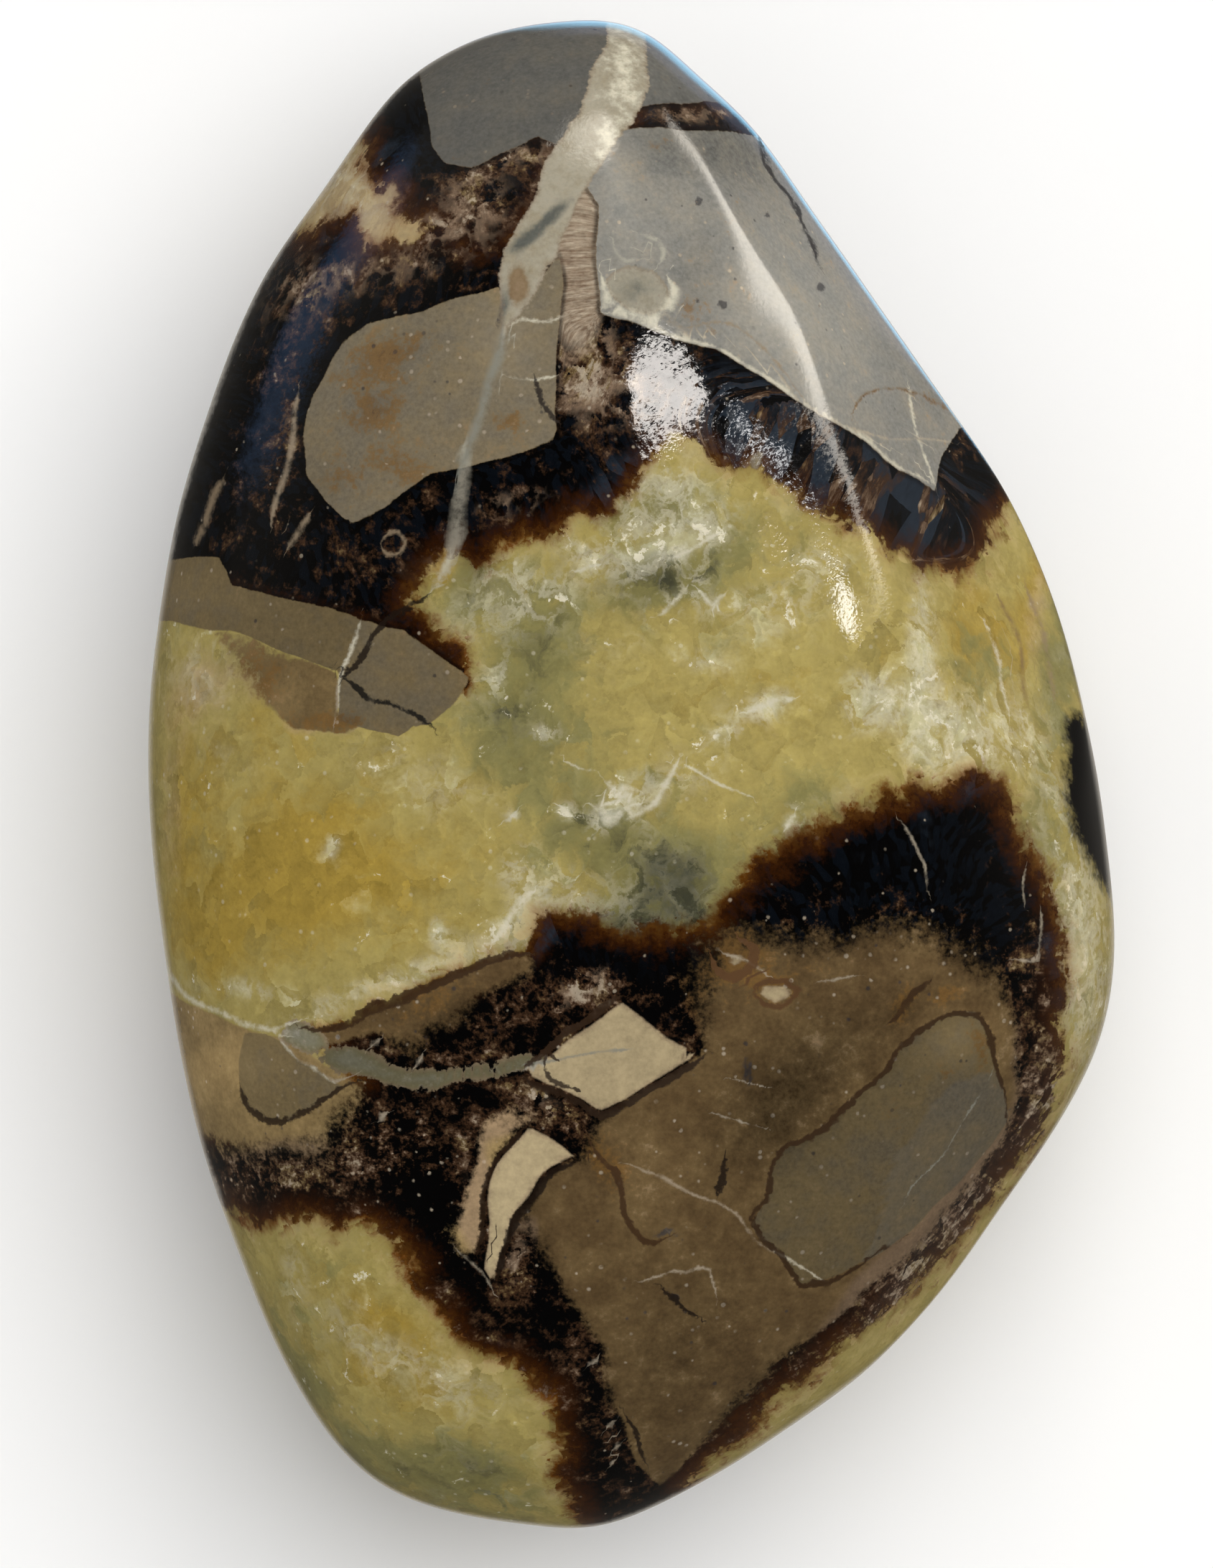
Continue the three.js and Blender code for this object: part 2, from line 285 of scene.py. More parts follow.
# Pale cracks and thin veins. Tone runs from 0, grey-blue, past 1, cream, to 2, rusty.
PALE_CRACKS = [
    # blue-grey vein that runs on from the main one
    (0.8, 0.1, [(-8.6, 31.5), (-9.2, 29), (-9.9, 27), (-10.4, 25.2), (-11.2, 23), (-12.2, 20.5)]),
    (0.6, 0.6, [(-12.2, 15.6), (-13, 14.2), (-14, 12.9)]),
    # under the large grey block
    (0.26, 1.1, [(-2, 32.1), (0, 31.7), (4, 30.2), (6.2, 29.4), (9, 27.8), (11.5, 26.2), (13.5, 25),
        (16.5, 23.2), (18.5, 21.5), (20.8, 20)]),
    # in the calcite at the right
    (0.34, 1.9, [(25.6, 12.6), (27, 9), (27.7, 4.6)]),
    (0.3, 1.8, [(27.4, 13.6), (28.8, 9.6), (29.5, 5)]),
    (0.22, 1.1, [(24.4, 10.6), (25.6, 7.6), (26.2, 4)]),
    # pale specks
    (0.4, 1.0, [(-2.9, -41.2), (-2.5, -40.7)]),
    (0.4, 1.0, [(-1.7, -45.5), (-1.3, -45.1)]),
    (0.36, 1.0, [(-1.2, -47), (-0.8, -46.6)]),
    (0.36, 1.0, [(-1.5, -48.2), (-1.1, -47.8)]),
    (0.5, 1.0, [(-17.8, -24), (-17.2, -23.6)]),
    (0.45, 1.0, [(-18.2, -19.1), (-17.8, -18.7)]),
    (0.4, 1.0, [(-15, -20.2), (-14.6, -19.7)]),
    # small ring in the lining
    (0.22, 1.5, [(-17.6, 16), (-17.1, 16.8), (-16.2, 16.8), (-15.7, 16), (-16.2, 15.2),
        (-17.1, 15.2), (-17.6, 15.9)]),
    # across the strip
    (0.2, 0.9, [(-18.8, 11), (-19.3, 9.2), (-20.1, 7.1), (-20.5, 5.4), (-20.8, 3.6)]),
    # branches of the blue-grey vein
    (0.17, 0.9, [(-8.6, 31), (-7.5, 31.7), (-5.5, 31.5), (-4.2, 31.9)]),
    (0.14, 0.9, [(-8.6, 27.6), (-7, 27.4), (-5.2, 27.6)]),
    # across the brown block
    (0.2, 1.2, [(-0.4, -27.2), (1, -27.9), (2.5, -28.3), (4, -28.9), (6, -29.9), (7, -30.6),
        (7.5, -31), (8.7, -32.5), (10.4, -33.5), (12, -34.4), (13.4, -35.3)]),
    (0.16, 1.0, [(0.5, -35.5), (2, -35.1), (3, -34.6), (4, -34.7), (4.8, -34.3), (5.5, -34.5),
        (5.7, -36.4)]),
    # over the small wedge, and between the calcite and the tan piece
    (0.19, 0.8, [(-24.9, -18.2), (-24, -19.3), (-23.3, -19.9), (-22.3, -20.3), (-21.5, -20.9),
        (-20.6, -21.5), (-19.2, -21)]),
    (0.37, 1.0, [(-33.5, -12), (-32.2, -14), (-31.2, -15.3), (-30, -16), (-28.5, -16.6),
        (-27, -17.3), (-25, -17.9), (-23, -17.2)]),
    # through the upper cream fragment
    (0.16, 0.1, [(-7.6, -20.2), (-5, -19.8), (-3, -19.6), (-1.5, -19.3), (0.4, -19)]),
    # round the shell, and over it
    (0.85, 1.0, [(-2.1, 34.9), (-1.7, 33), (-0.4, 31.9), (1.2, 31.5), (2.6, 32.2), (3, 33.6),
        (2.4, 34.8)]),
    (0.26, 0.5, [(0.6, 37.6), (1.8, 37.1), (2.3, 36.2), (1.9, 35.4)]),
    (0.2, 0.4, [(-1.4, 37.4), (-1.2, 36.2), (-0.4, 35.5), (0.8, 35.7)]),
    # wide lower part of the blue-grey vein
    (1.3, 0.4, [(-11.6, 23.2), (-11.8, 20.6), (-12, 18.4), (-12.3, 16), (-12.8, 13.6)]),
    # long ones in the lining at the left
    (0.4, 1.3, [(-23.1, 27), (-23.5, 24), (-23.9, 21.5), (-24.6, 19.3), (-25.1, 17.3)]),
    (0.4, 1.4, [(-22.5, 18.2), (-23.2, 16.9), (-24, 15.5)]),
    (0.5, 1.5, [(-28.4, 21), (-29.4, 18.6), (-30.6, 15.7)]),
    # over the inner end of the wedge
    (0.6, 1.0, [(-6.9, -8.2), (-8.2, -9.6), (-9.6, -11.6)]),
    # fine lines low in the large grey block
    (0.2, 1.8, [(2.1, 31.9), (4, 31), (5.8, 31.4), (7.2, 31.3), (8.3, 30.7), (9.2, 29.8),
        (10.7, 28), (12.3, 25.8)]),
    (0.2, 2.0, [(15.5, 25.1), (16.1, 26.3), (17.2, 26.8), (18.6, 26.9), (20.2, 26.5),
        (21.2, 25.8)]),
    (0.16, 1.0, [(19.3, 27), (19.9, 23.4), (21.2, 19.4)]),
    (0.15, 1.5, [(12.7, 25.2), (14.5, 24.4), (16, 23.8), (18, 23.3), (22.4, 23.1)]),
    # in the lining round the brown block
    (0.14, 0.8, [(18.8, -3.2), (19.6, -4.8), (20.4, -6.2), (20.6, -8.4)]),
    (0.11, 0.8, [(27.3, -6.6), (27.1, -8), (27.3, -9.4)]),
    (0.14, 0.8, [(26.6, -12.8), (28.4, -13), (28.5, -9.6)]),
    # hair-thin ones in the brown block
    (0.08, 0.7, [(7.1, -21.2), (8.3, -21.4), (9.6, -21.7)]),
    (0.08, 0.7, [(5.8, -23.6), (7.5, -24.2), (9.2, -24.7)]),
    (0.05, 0.15, [(25.2, -20.4), (22, -26), (19, -29.6)]),
    # at the tip of the lower cream fragment
    (0.19, 0.95, [(-12.1, -33.1), (-11, -34), (-10.3, -34.7), (-9.7, -36)]),
    # flecks on cleavage planes in the calcite
    (0.45, 0.9, [(-1.9, -0.4), (-0.9, -1.8), (0, -2.9), (1.5, -2.2), (2.4, -0.6), (3.3, 0.9)]),
    (0.16, 0.9, [(3.2, 0.9), (5.2, -0.2), (8.2, -1.6)]),
    (0.16, 0.9, [(-4.6, 0.9), (-3.4, 0.3), (-2.2, 0.1)]),
    (0.3, 0.9, [(2.5, 14.9), (4.2, 15.7), (5.9, 16.8)]),
    (0.35, 0.8, [(1.6, 11), (3, 11.9), (4, 13.1)]),
    (0.3, 0.8, [(4.7, 12.8), (5.4, 11.4), (6.6, 12.6)]),
    (0.3, 0.8, [(-3.8, 14), (-2.6, 14.6)]),
    (0.5, 0.9, [(8, 4.2), (9.4, 4.9), (11.2, 5.2)]),
    (0.5, 0.9, [(10.7, -3.7), (11.3, -2.8)]),
    (0.4, 0.8, [(-8.8, -3.2), (-8, -2.5)]),
    (0.7, 1.0, [(-2.7, -2.3), (-1.5, -3.3), (-0.6, -2.6)]),
    (0.5, 1.0, [(-4.9, -2.4), (-4.2, -3)]),
    (0.5, 1.0, [(-1.9, -0.5), (-0.7, -1), (0.5, -1.1)]),
    # beside the eye
    (0.19, 0.9, [(9.3, -13.9), (8, -13), (7, -12.6), (6.2, -12.4)]),
    (0.15, 0.8, [(12.9, -14.6), (14, -14.4), (15.8, -14)]),
]

# Soft patches, each an oval: x and y of its middle, half its width and height, its turn in
# degrees, and its strength.

# Deeper yellow calcite, ochre in the cream vein.
HONEY = [
    (-22, -8, 11, 5, 12, 1.0), (-29, -12.5, 2, 2, 0, 0.5), (24, 10, 2.6, 4.4, 0, 0.7),
    (17, 7, 2, 3, 0, 0.3), (-15, -43, 5, 2.4, -35, 0.4), (-17, -38, 2.5, 1, -20, 0.5),
    (28, 12, 1.2, 6, -8, 0.7), (8, 6, 6, 4, 0, 0.3), (-31, 0, 1.5, 8, 0, 0.5),
    (-26, 4, 4, 3, 0, 0.3), (22, -40, 14, 2, 45, 0.6), (11, -8, 3, 2, 0, 0.3),
    (-7.8, 34, 0.9, 1.6, 0, 1.2), (-12.8, 14.2, 1, 1.4, 0, 1.2), (-17, -39, 7, 6, 0, 0.35),
    (-24, -2, 7, 5, 0, 0.4),
]
# Milky calcite, white in the cream vein.
CLOUD = [
    (-17, 0.5, 5, 2.4, -10, 0.35), (-14, -2, 3, 2, 30, 0.4), (0.8, -1.2, 3.8, 1.6, 25, 0.6),
    (6, 2.4, 2, 3, 0, 0.35), (-5, -8, 4, 2, -10, 0.6), (9, 4.4, 1.6, 1.4, 0, 0.5),
    (23.4, 2.6, 3, 3.2, 0, 1.0), (20.2, 7.5, 1.1, 7.5, 0, 0.9), (17, 5, 2.4, 2.2, 0, 1.2),
    (-28, 1, 2.4, 1.4, -30, 0.5), (-18.5, -40, 5, 1.2, -38, 0.25), (-10, -43.5, 4, 1.6, -25, 0.2),
    (-23.5, -34.2, 1, 1.6, 20, 0.5), (-20.5, 41, 3.4, 3.4, 0, 0.8), (-9.5, 6.8, 1.8, 1, 40, 0.6),
    (1, 18, 5, 2.4, 0, 0.55), (-6, 12.6, 4, 2.4, 20, 0.55), (13, 14, 3, 2, -20, 0.5),
    (31.2, -12, 2, 9, 4, 0.9), (3, 15.6, 2.6, 0.9, 15, 0.8), (-11.5, 10.5, 2, 1.6, 45, 0.3),
    (27.5, 3.6, 1.4, 4, 10, 0.5), (-8.6, -11.2, 1.6, 1.6, 0, 0.9), (-27, -15, 5, 0.9, -8, 0.6),
    (9, 10, 4, 2, 20, 0.35), (-1.6, -3, 1.3, 0.7, 40, 1.1), (-4.4, -2.6, 0.7, 0.6, 0, 1.0),
    (-8.4, -2.8, 0.6, 0.5, 0, 0.9), (-6, 2.8, 0.8, 0.5, 30, 0.9), (6.5, 2.7, 0.9, 0.6, 0, 0.9),
    (11, -3.2, 0.7, 0.8, 0, 1.2), (3, 12, 2.6, 0.9, 35, 0.7), (-2, 15, 3, 0.8, -20, 0.8),
    (-20, -8, 6, 3, -30, 0.4), (-13.4, -11, 0.7, 1, 0, 1.0), (-20.8, -5, 0.8, 1.2, -30, 0.9),
    (-1.6, 43.6, 2, 2, 0, 0.7), (-30, 6.5, 2.6, 3.6, 0, 0.6), (2, 20.5, 3, 1.6, 0, 0.5),
    (8, 12, 3, 0.8, 10, 0.6), (4, 8, 3, 1, -15, 0.5), (-8, -6, 2, 1, 50, 0.5),
    (-0.5, 49, 2, 4, 0, 0.7), (9.6, 4.8, 2, 0.7, 20, 0.8), (-7, -9.5, 1.4, 2, 0, 0.6),
    (-16, -14.2, 9, 1.1, 19, 0.75), (-16, -40.5, 6.5, 3, -32, 0.6), (-9.5, 13.5, 2.4, 1.6, 40, 0.3),
    (3, 16.5, 4, 1.2, 30, 0.6),
]
# Dark, clear calcite, dark spots in the rock, and smooth black in the lining, which along the left rim is
# painted dark reflection.
SMOKE_AND_PAINTED_DARK_RIM = [
    (-9, 4, 2.8, 4, 0, 0.7), (-5, 1, 4, 7, 10, 0.55), (1.6, -5.6, 5, 3.2, 0, 0.85),
    (3.6, -8.4, 5, 2.4, 10, 0.8), (2, 13.4, 4.4, 2.4, 10, 1.15), (-5, -4.3, 1, 0.8, 0, 0.4),
    (1.4, -0.2, 0.9, 0.7, 0, 0.5), (-3, -2.9, 1.2, 0.8, 20, 0.4), (-13, 4.6, 2.4, 2, 0, 0.2),
    (-11.5, 13, 4, 2.4, 35, 0.85), (-6.6, 10.5, 3.6, 3.6, 0, 0.75), (-14, -49, 9, 2.6, -14, 0.7),
    (-22.5, -42, 1.8, 6, 25, 0.6), (-11, -47.4, 4, 1.8, -20, 0.5), (-29, -17.5, 1.4, 1, 0, 0.4),
    (0.5, -10, 4.5, 1.2, 0, 0.9), (12, -2, 4, 2, 30, 0.35), (28.5, -3, 1.6, 5, 0, 0.45),
    (-21, -35, 3, 3, 0, 0.15), (18, -5, 8, 2.6, 0, 0.9), (7.5, 9.2, 2, 1.4, 20, 0.3),
    (-24, -30, 6, 1, 0, 0.3), (-7.5, 37, 1.6, 0.7, 40, 1.1), (-5.6, 38.8, 1.5, 0.5, 40, 1.0),
    (-9, 32, 0.6, 2.4, -10, 0.8), (0.2, 33.6, 1.6, 0.9, 20, 0.55), (6.2, 32.6, 0.5, 0.4, 0, 1.3),
    (6.1, 29.3, 0.5, 0.4, 0, 1.3), (13.3, 33.9, 0.4, 0.45, 0, 1.2), (4.7, 39.8, 0.4, 0.4, 0, 1.1),
    (-17.6, 25.2, 0.7, 0.4, -30, 0.9), (4.6, 33, 0.4, 0.4, 0, 0.9), (9.4, 39, 0.4, 0.4, 0, 0.9),
    # The long oval at the left rim is painted dark reflection on the lining.
    (8, -20.6, 0.5, 1.4, 15, 1.0), (-29.5, 26, 2, 13, -17, 1.0), (29.6, 7, 1.6, 6, 4, 0.65),
    (30.8, -12, 1.6, 8, 4, 0.55), (2.5, 19, 3.5, 1.6, 20, 0.4), (6, 17, 13, 3, -12, 0.42),
    (24, 8, 2.6, 3.6, 0, 0.5), (0, -12.6, 5, 2, 0, 0.8), (-16, 45, 3, 3, 0, 0.7),
    (-13.5, -30, 3, 3, 0, 0.5), (2, 24.5, 2, 2, 0, 0.6), (3, -36.5, 1.6, 0.6, -40, 0.8),
    (-1, -22, 0.7, 0.5, 0, 0.7), (2.2, -31.9, 1.8, 0.5, 0, 1.0),
]
# A black crystal that shows at the right edge.
BLACK_SPOT = [
    (30.3, 3), (30.8, 4.2), (32.8, 3), (44, 4), (46, -10), (33.6, -9), (31.8, -6), (30.8, -4),
    (30.2, -1.5)]
# Iron stains.
RUST = [
    (-18, 25.2, 2.2, 1.2, 20, 0.8), (-15.8, 29.6, 3, 1.2, 10, 0.7), (-16, 21.4, 2.6, 1.4, -20, 0.7),
    (-20, 20.5, 2, 2, 0, 0.6), (-19.4, 28, 2.4, 1, 30, 0.5), (-7.8, 34.2, 1, 1.6, 0, 0.7),
    (-22, 3.6, 2.6, 1, 0, 0.9), (-25.5, 7, 2, 1.6, 20, 0.7), (-19.6, 3.8, 1, 0.8, 0, 0.8),
    (18.5, -24, 1.6, 1, -60, 0.4), (22, -21, 2, 0.8, 0, 0.45), (7.2, -12.8, 2.4, 2.8, 10, 1.05),
    (10, -14.9, 1.7, 1, 0, 0.6), (18.9, -16.2, 1.5, 0.9, 60, 1.2), (2.4, -17, 1.6, 2.6, -20, 1.5),
    (21.8, -15.4, 1.4, 0.7, 0, 0.9), (-2, -27, 2.2, 1.3, -60, 1.2),
    (-15.4, -28.4, 0.8, 0.8, 0, 0.8), (-14, -15.8, 4, 1.4, 20, 0.6), (4, 32.4, 1.6, 1, 0, 0.5),
    (5.5, 31, 1.4, 0.7, -30, 0.5), (12.4, -13.6, 2.4, 0.8, 10, 0.3),
    (24.2, -18.8, 0.6, 1.8, 15, 0.8), (21, 26, 1.4, 0.4, -20, 0.8), (-8.4, 24.6, 1.2, 0.8, 0, 0.5),
    (-19.6, 40.6, 5, 4.2, 0, 1.2), (-16.6, 38, 3, 1.4, 0, 1.2), (22, -40, 15, 1.6, 45, 0.7),
    (28.5, 12, 1.2, 7, -8, 0.6), (-32, -3, 1.2, 7, 0, 0.5), (-30, 6, 3, 4, 0, 0.6),
    (-16, -41, 6.5, 2.4, -32, 0.3), (-17.5, 27, 2.6, 3.4, -20, 0.5), (-8.5, 25, 2, 2, 0, 0.3),
    (6.5, 38, 1, 3, -20, 0.25), (-10, 48, 1.4, 1, 0, 0.3), (-23.2, -18.2, 1.6, 0.8, 0, 0.5),
    (2, 43.8, 1.4, 0.5, 0, 0.5),
]
# Where the lining is paler and more open.
PALE_LINING = [
    (-3.6, 37, 2.6, 7.6, 0, 1.6), (-2.4, 27, 2.8, 3.4, 0, 0.9), (13, 20.5, 9, 3.6, -28, 0.6),
    (-11, 40, 3.4, 3, 0, 0.75), (5, 46, 5, 1, 0, 0.7), (-25.2, 22, 1.2, 6, 0, 0.25),
    (-12.5, 14.2, 1.6, 1.4, 0, 0.8), (28.8, -20.5, 1.8, 6, 8, 0.6), (20, -33.5, 12, 2, 49, 0.72),
    (28.2, -12.8, 1.1, 3.4, 10, 0.4), (-8, 43.2, 2.4, 0.8, 10, 0.8), (3.5, 25, 3.4, 2.4, -20, 0.7),
    (-14, 38, 3, 1, 0, 0.4), (-3.6, -15, 3.4, 1.5, 25, 1.0), (-6, -22.8, 3, 1, -30, 0.9),
    (-11.3, -28.6, 1.4, 4.6, 14, 0.8), (-8.8, -24, 2, 1.2, 20, 0.5), (-8, -34, 0.8, 2.6, -16, 1.0),
    (-22, -26, 7, 2, 0, 0.2), (-26, -28.4, 6, 1.6, 0, 0.62), (-24, 33, 3, 5, -25, 0.4),
    (-17, 35, 7, 2.2, 10, 0.65), (-18, 14.5, 6, 2, -10, 0.35), (-27, 22, 2, 7, -8, 0.15),
    (-9, 18.6, 3, 1.2, 15, 0.5), (-23.6, 24, 0.7, 3.4, 4, 0.5), (-7, 19, 3, 1, 15, 0.35),
]
# Where the lining breaks up into grains, and the brown blocks have ragged edges.
FRAY = [
    (13, -11.8, 9.5, 2.6, 0, 0.9), (23.5, -13, 4, 2.6, -30, 0.9), (5, -14.5, 2, 3.4, 0, 0.9),
    (-26, -27, 6, 2, 0, 0.9), (-16, -26, 3, 4, 0, 0.8), (-19.5, -26, 5, 3.6, 0, 0.8),
    (-11.5, -18, 5.5, 2, 20, 0.8), (28.3, -19.5, 1.6, 5, 4, 0.4), (-7.3, -33.5, 1.5, 3, 20, 0.6),
    (-12, 39, 4, 3, 0, 0.3), (-3, -43, 1.5, 5, 12, 0.6), (-17, -33, 4, 1.4, -30, 0.4),
    (1.5, -15.3, 2.4, 1.2, 0, 0.8), (-24.5, 21, 3, 8, 0, 0.5), (-27, 7, 3, 2.4, 20, 0.5),
    (-14, 13, 4, 2.5, 0, 0.6), (-7, 20, 5, 1.5, 10, 0.5), (20, -34, 12, 1.6, 49, 0.35),
    (-3.6, -15, 3.4, 2, 25, 1.0), (-14, -29, 1.4, 5, 14, 0.6), (-8, -34, 1.6, 3, 0, 0.8),
    (9, -43, 4, 1.6, 45, 0.6), (-1, -12.5, 6, 1.6, 0, 0.4), (20, -5, 8, 2, 0, 0.25),
    (-5, -24, 4, 3, 0, 0.7),
]
# Where the crystals lie level, from wall to wall of a narrow crack.
ACROSS = [(-3.7, 35.5, 2, 6, 0, 1.0)]
# Where they stand side by side, at right angles to the long edge of the large grey block.
UPRIGHT = [(14.5, 20.5, 12, 5, -28, 1.2)]
# Where the rock is darker, or paler if less than 0. Some is the rock's own tone; on the large grey block
# it is painted shade at the top and painted light towards the ridge on the right.
PAINTED_SHADE_AND_ROCK_TONE = [
    (10.4, -23.6, 5, 3, 42, 1.2), (3, -41, 5, 7, -30, 0.5), (14.5, -18.6, 7, 3, 15, 0.6),
    (-24, -25.5, 3.4, 1.3, 0, -0.3), (-12.5, -16.6, 4, 1.5, -15, 0.4), (5, 43.6, 7, 2.4, -12, 0.8),
    (11, 32.5, 4.5, 9, 25, -0.5), (0, 38, 2, 3, 0, -0.2), (-33, 12.6, 5, 3, 0, -1.2),
    (21.6, -11.8, 2, 1.6, 0, -0.6), (-22, 19, 2, 4, 0, 0.3), (4.6, 35, 2, 4, -25, 0.4),
    (-29, -20.6, 4, 2, 10, -1.1), (-23.6, -17.6, 2.4, 0.8, 0, -0.8), (-9, 30, 2.4, 3, 0, -0.5),
    (22.6, -18.4, 2.6, 1.8, 20, -1.2), (14, 31, 3, 5, 30, -0.2), (3, -28, 5, 3, -20, -0.15),
    (-1, 42, 1.2, 3, 0, -0.5),
]

# The back has blocks of its own. Each is x and y of its middle, whether it is grey, its tone and
# its lightness. The filled cracks run half-way between neighbours.
BACK_CELLS = [
    (-8, 41, True, 0.2, 0.8), (10, 33, True, 0.1, 0.95), (-22, 27, False, 0.2, 0.9),
    (-4, 19, True, 0.6, 0.8), (19, 13, False, 0.3, 1.0), (-25, 3, True, 0.8, 0.85),
    (-6, -6, False, 0.1, 0.9), (23, -11, True, 0.7, 0.7), (-24, -21, False, 0.7, 0.95),
    (3, -30, False, 0.05, 0.95), (24, -31, False, 0.3, 0.9), (-14, -42, True, 0.5, 0.8),
]
BACK_GAP = 2.6  # half the width of the filled cracks on the back
LEAST_BACK_GAP = 0.5  # the same where they are narrowest
BACK_LINING = 2.4  # how far the lining reaches into them
BACK_STARTS = 0.97  # share of the girdle's radius where the back's own blocks begin
BACK_ALONE = 0.72  # and where they have taken over
BACK_TINT = [1, 0.7, 0.5]  # how much of honey, cloud and smoke its calcite has

EYE_HEIGHT = 1200.0  # the plan is drawn as it looks from here, not straight down
OUTLINE_WANDER = 0.12  # how far the outlines stray from their straight sides
BACK_WANDER = 1.2  # and how far those on the back do
CLUMP_WANDER = 0.45  # how far the calcite's crystals are bent out of shape
FAR_OUT = -6.0  # a depth that is well outside any outline
STRONGEST_PATCH = 1.2  # the most that soft patches add up to

FAN = 0.28  # how far the crystals turn aside from the nearest wall, from 0 to 1
BACK_FAN = 0.35  # the same on the back
LEVEL_WALL = -3.6  # x of the wall that the level crystals point at
# The wall that the upright crystals point at: its x and y are sums of shares of the plan's.
UPRIGHT_WALL = np.array([[0.87, 0.0], [-0.42, 0.1]])
UPRIGHT_WALL_START = np.array([30.0, 0.0])

# ---- shape helpers ------------------------------------------------------------------------


def smooth(values, low, high):
    """Eases from 0 at low to 1 at high along 3t^2 - 2t^3."""
    t = np.clip((values - low) / (high - low), 0, 1)
    return t * t * (3 - 2 * t)


def blend(start, end, share):
    """Goes straight from start to end as share goes from 0 to 1."""
    return start + (end - start) * share


def columns(*values):
    """Sets numbers or lists side by side, as one row for each point."""
    return np.stack(np.broadcast_arrays(*values), axis=1)


def crossing_waves(points, length, seed):
    """Adds up sine waves of about one length that run every way, for a gentle, random swell.

    Each wave is the sine of the place along its own direction, and the sum is about -1 to 1.
    """
    count = 7
    random = np.random.default_rng(seed)
    total = np.zeros(len(points))
    for _ in range(count):
        direction = random.normal(size=points.shape[1])
        direction /= np.linalg.norm(direction)
        wave = FULL_TURN / (length * random.uniform(0.7, 1.5))
        total += np.sin(points @ direction * wave + random.uniform(0, FULL_TURN))
    return total / np.sqrt(count)


def swells(points, length, first_seed, count):
    """Several crossing swells of one length, side by side."""
    return columns(*[crossing_waves(points, length, first_seed + i) for i in range(count)])


def girdle_radius():
    """Returns a function that gives the girdle's radius about the pole at any angle.

    It is the closed cubic curve through the outline's corners, taken as radius over angle, whose
    slope and bend run on smoothly through every corner.
    """
    arms = np.array(OUTLINE) - POLE
    angles = np.unwrap(np.arctan2(arms[:, 1], arms[:, 0]))
    radii = np.hypot(arms[:, 0], arms[:, 1])
    steps = np.diff(angles, append=angles[0] + FULL_TURN)
    rises = (np.roll(radii, -1) - radii) / steps
    count = len(radii)
    rows = np.arange(count)
    system = np.zeros((count, count))
    system[rows, rows] = 2 * (np.roll(steps, 1) + steps)
    system[rows, rows - 1] = np.roll(steps, 1)
    system[rows, (rows + 1) % count] = steps
    bends = np.linalg.solve(system, 6 * (rises - np.roll(rises, 1)))

    def radius(angle):
        angle = (angle - angles[0]) % FULL_TURN + angles[0]
        here = np.searchsorted(angles, angle, side="right") - 1
        after = (here + 1) % count
        step = steps[here]
        done = angle - angles[here]
        left = step - done
        curve = (bends[here] * left**3 + bends[after] * done**3) / (6 * step)
        line = (radii[here] * left + radii[after] * done) / step
        return curve + line - step * (bends[here] * left + bends[after] * done) / 6

    return radius


radius_at = girdle_radius()


def share_to_surface(points, sizes):
    """How far out points lie, as a share of the way to the surface: 1 is on it.

    Points are measured from the middle of the girdle. The dome is a rounded box over the girdle,
    and each flank adds its plane, both raised to a high power so that they meet in a worn edge.
    """
    across = np.hypot(points[:, 0], points[:, 1])
    across = across / radius_at(np.arctan2(points[:, 1], points[:, 0]))
    up = np.abs(points[:, 2]) / np.where(points[:, 2] > 0, sizes.crown, sizes.back) * MM
    total = (across**sizes.fullness + up**sizes.fullness) ** (sizes.edge / sizes.fullness)
    for facing, distance in FLANKS:
        facing = np.array(facing) / np.linalg.norm(facing)
        total = total + np.maximum(points @ facing / distance, 0) ** sizes.edge
    return total ** (1 / sizes.edge)


def girdle_height(sizes):
    """Height of the girdle over the ground, in millimetres."""
    return (sizes.back - sizes.flat) / MM


def disc_net(rows):
    """A square net laid over a disc: radius and angle of each corner, row by row.

    Each square ring of the net becomes a round ring. A corner's share along its side of the
    square becomes its angle, an eighth of a turn each way from the middle of the side.
    """
    line = np.linspace(-1, 1, rows + 1)
    u, v = np.meshgrid(line, line)
    wide = np.abs(u) >= np.abs(v)
    long = np.where(wide, u, v)
    short = np.where(wide, v, u)
    share = np.divide(short, long, out=np.zeros_like(u), where=long != 0)
    angle = np.where(wide, share, 2 - share) * FULL_TURN / 8 + np.where(long < 0, np.pi, 0)
    return np.abs(long), angle


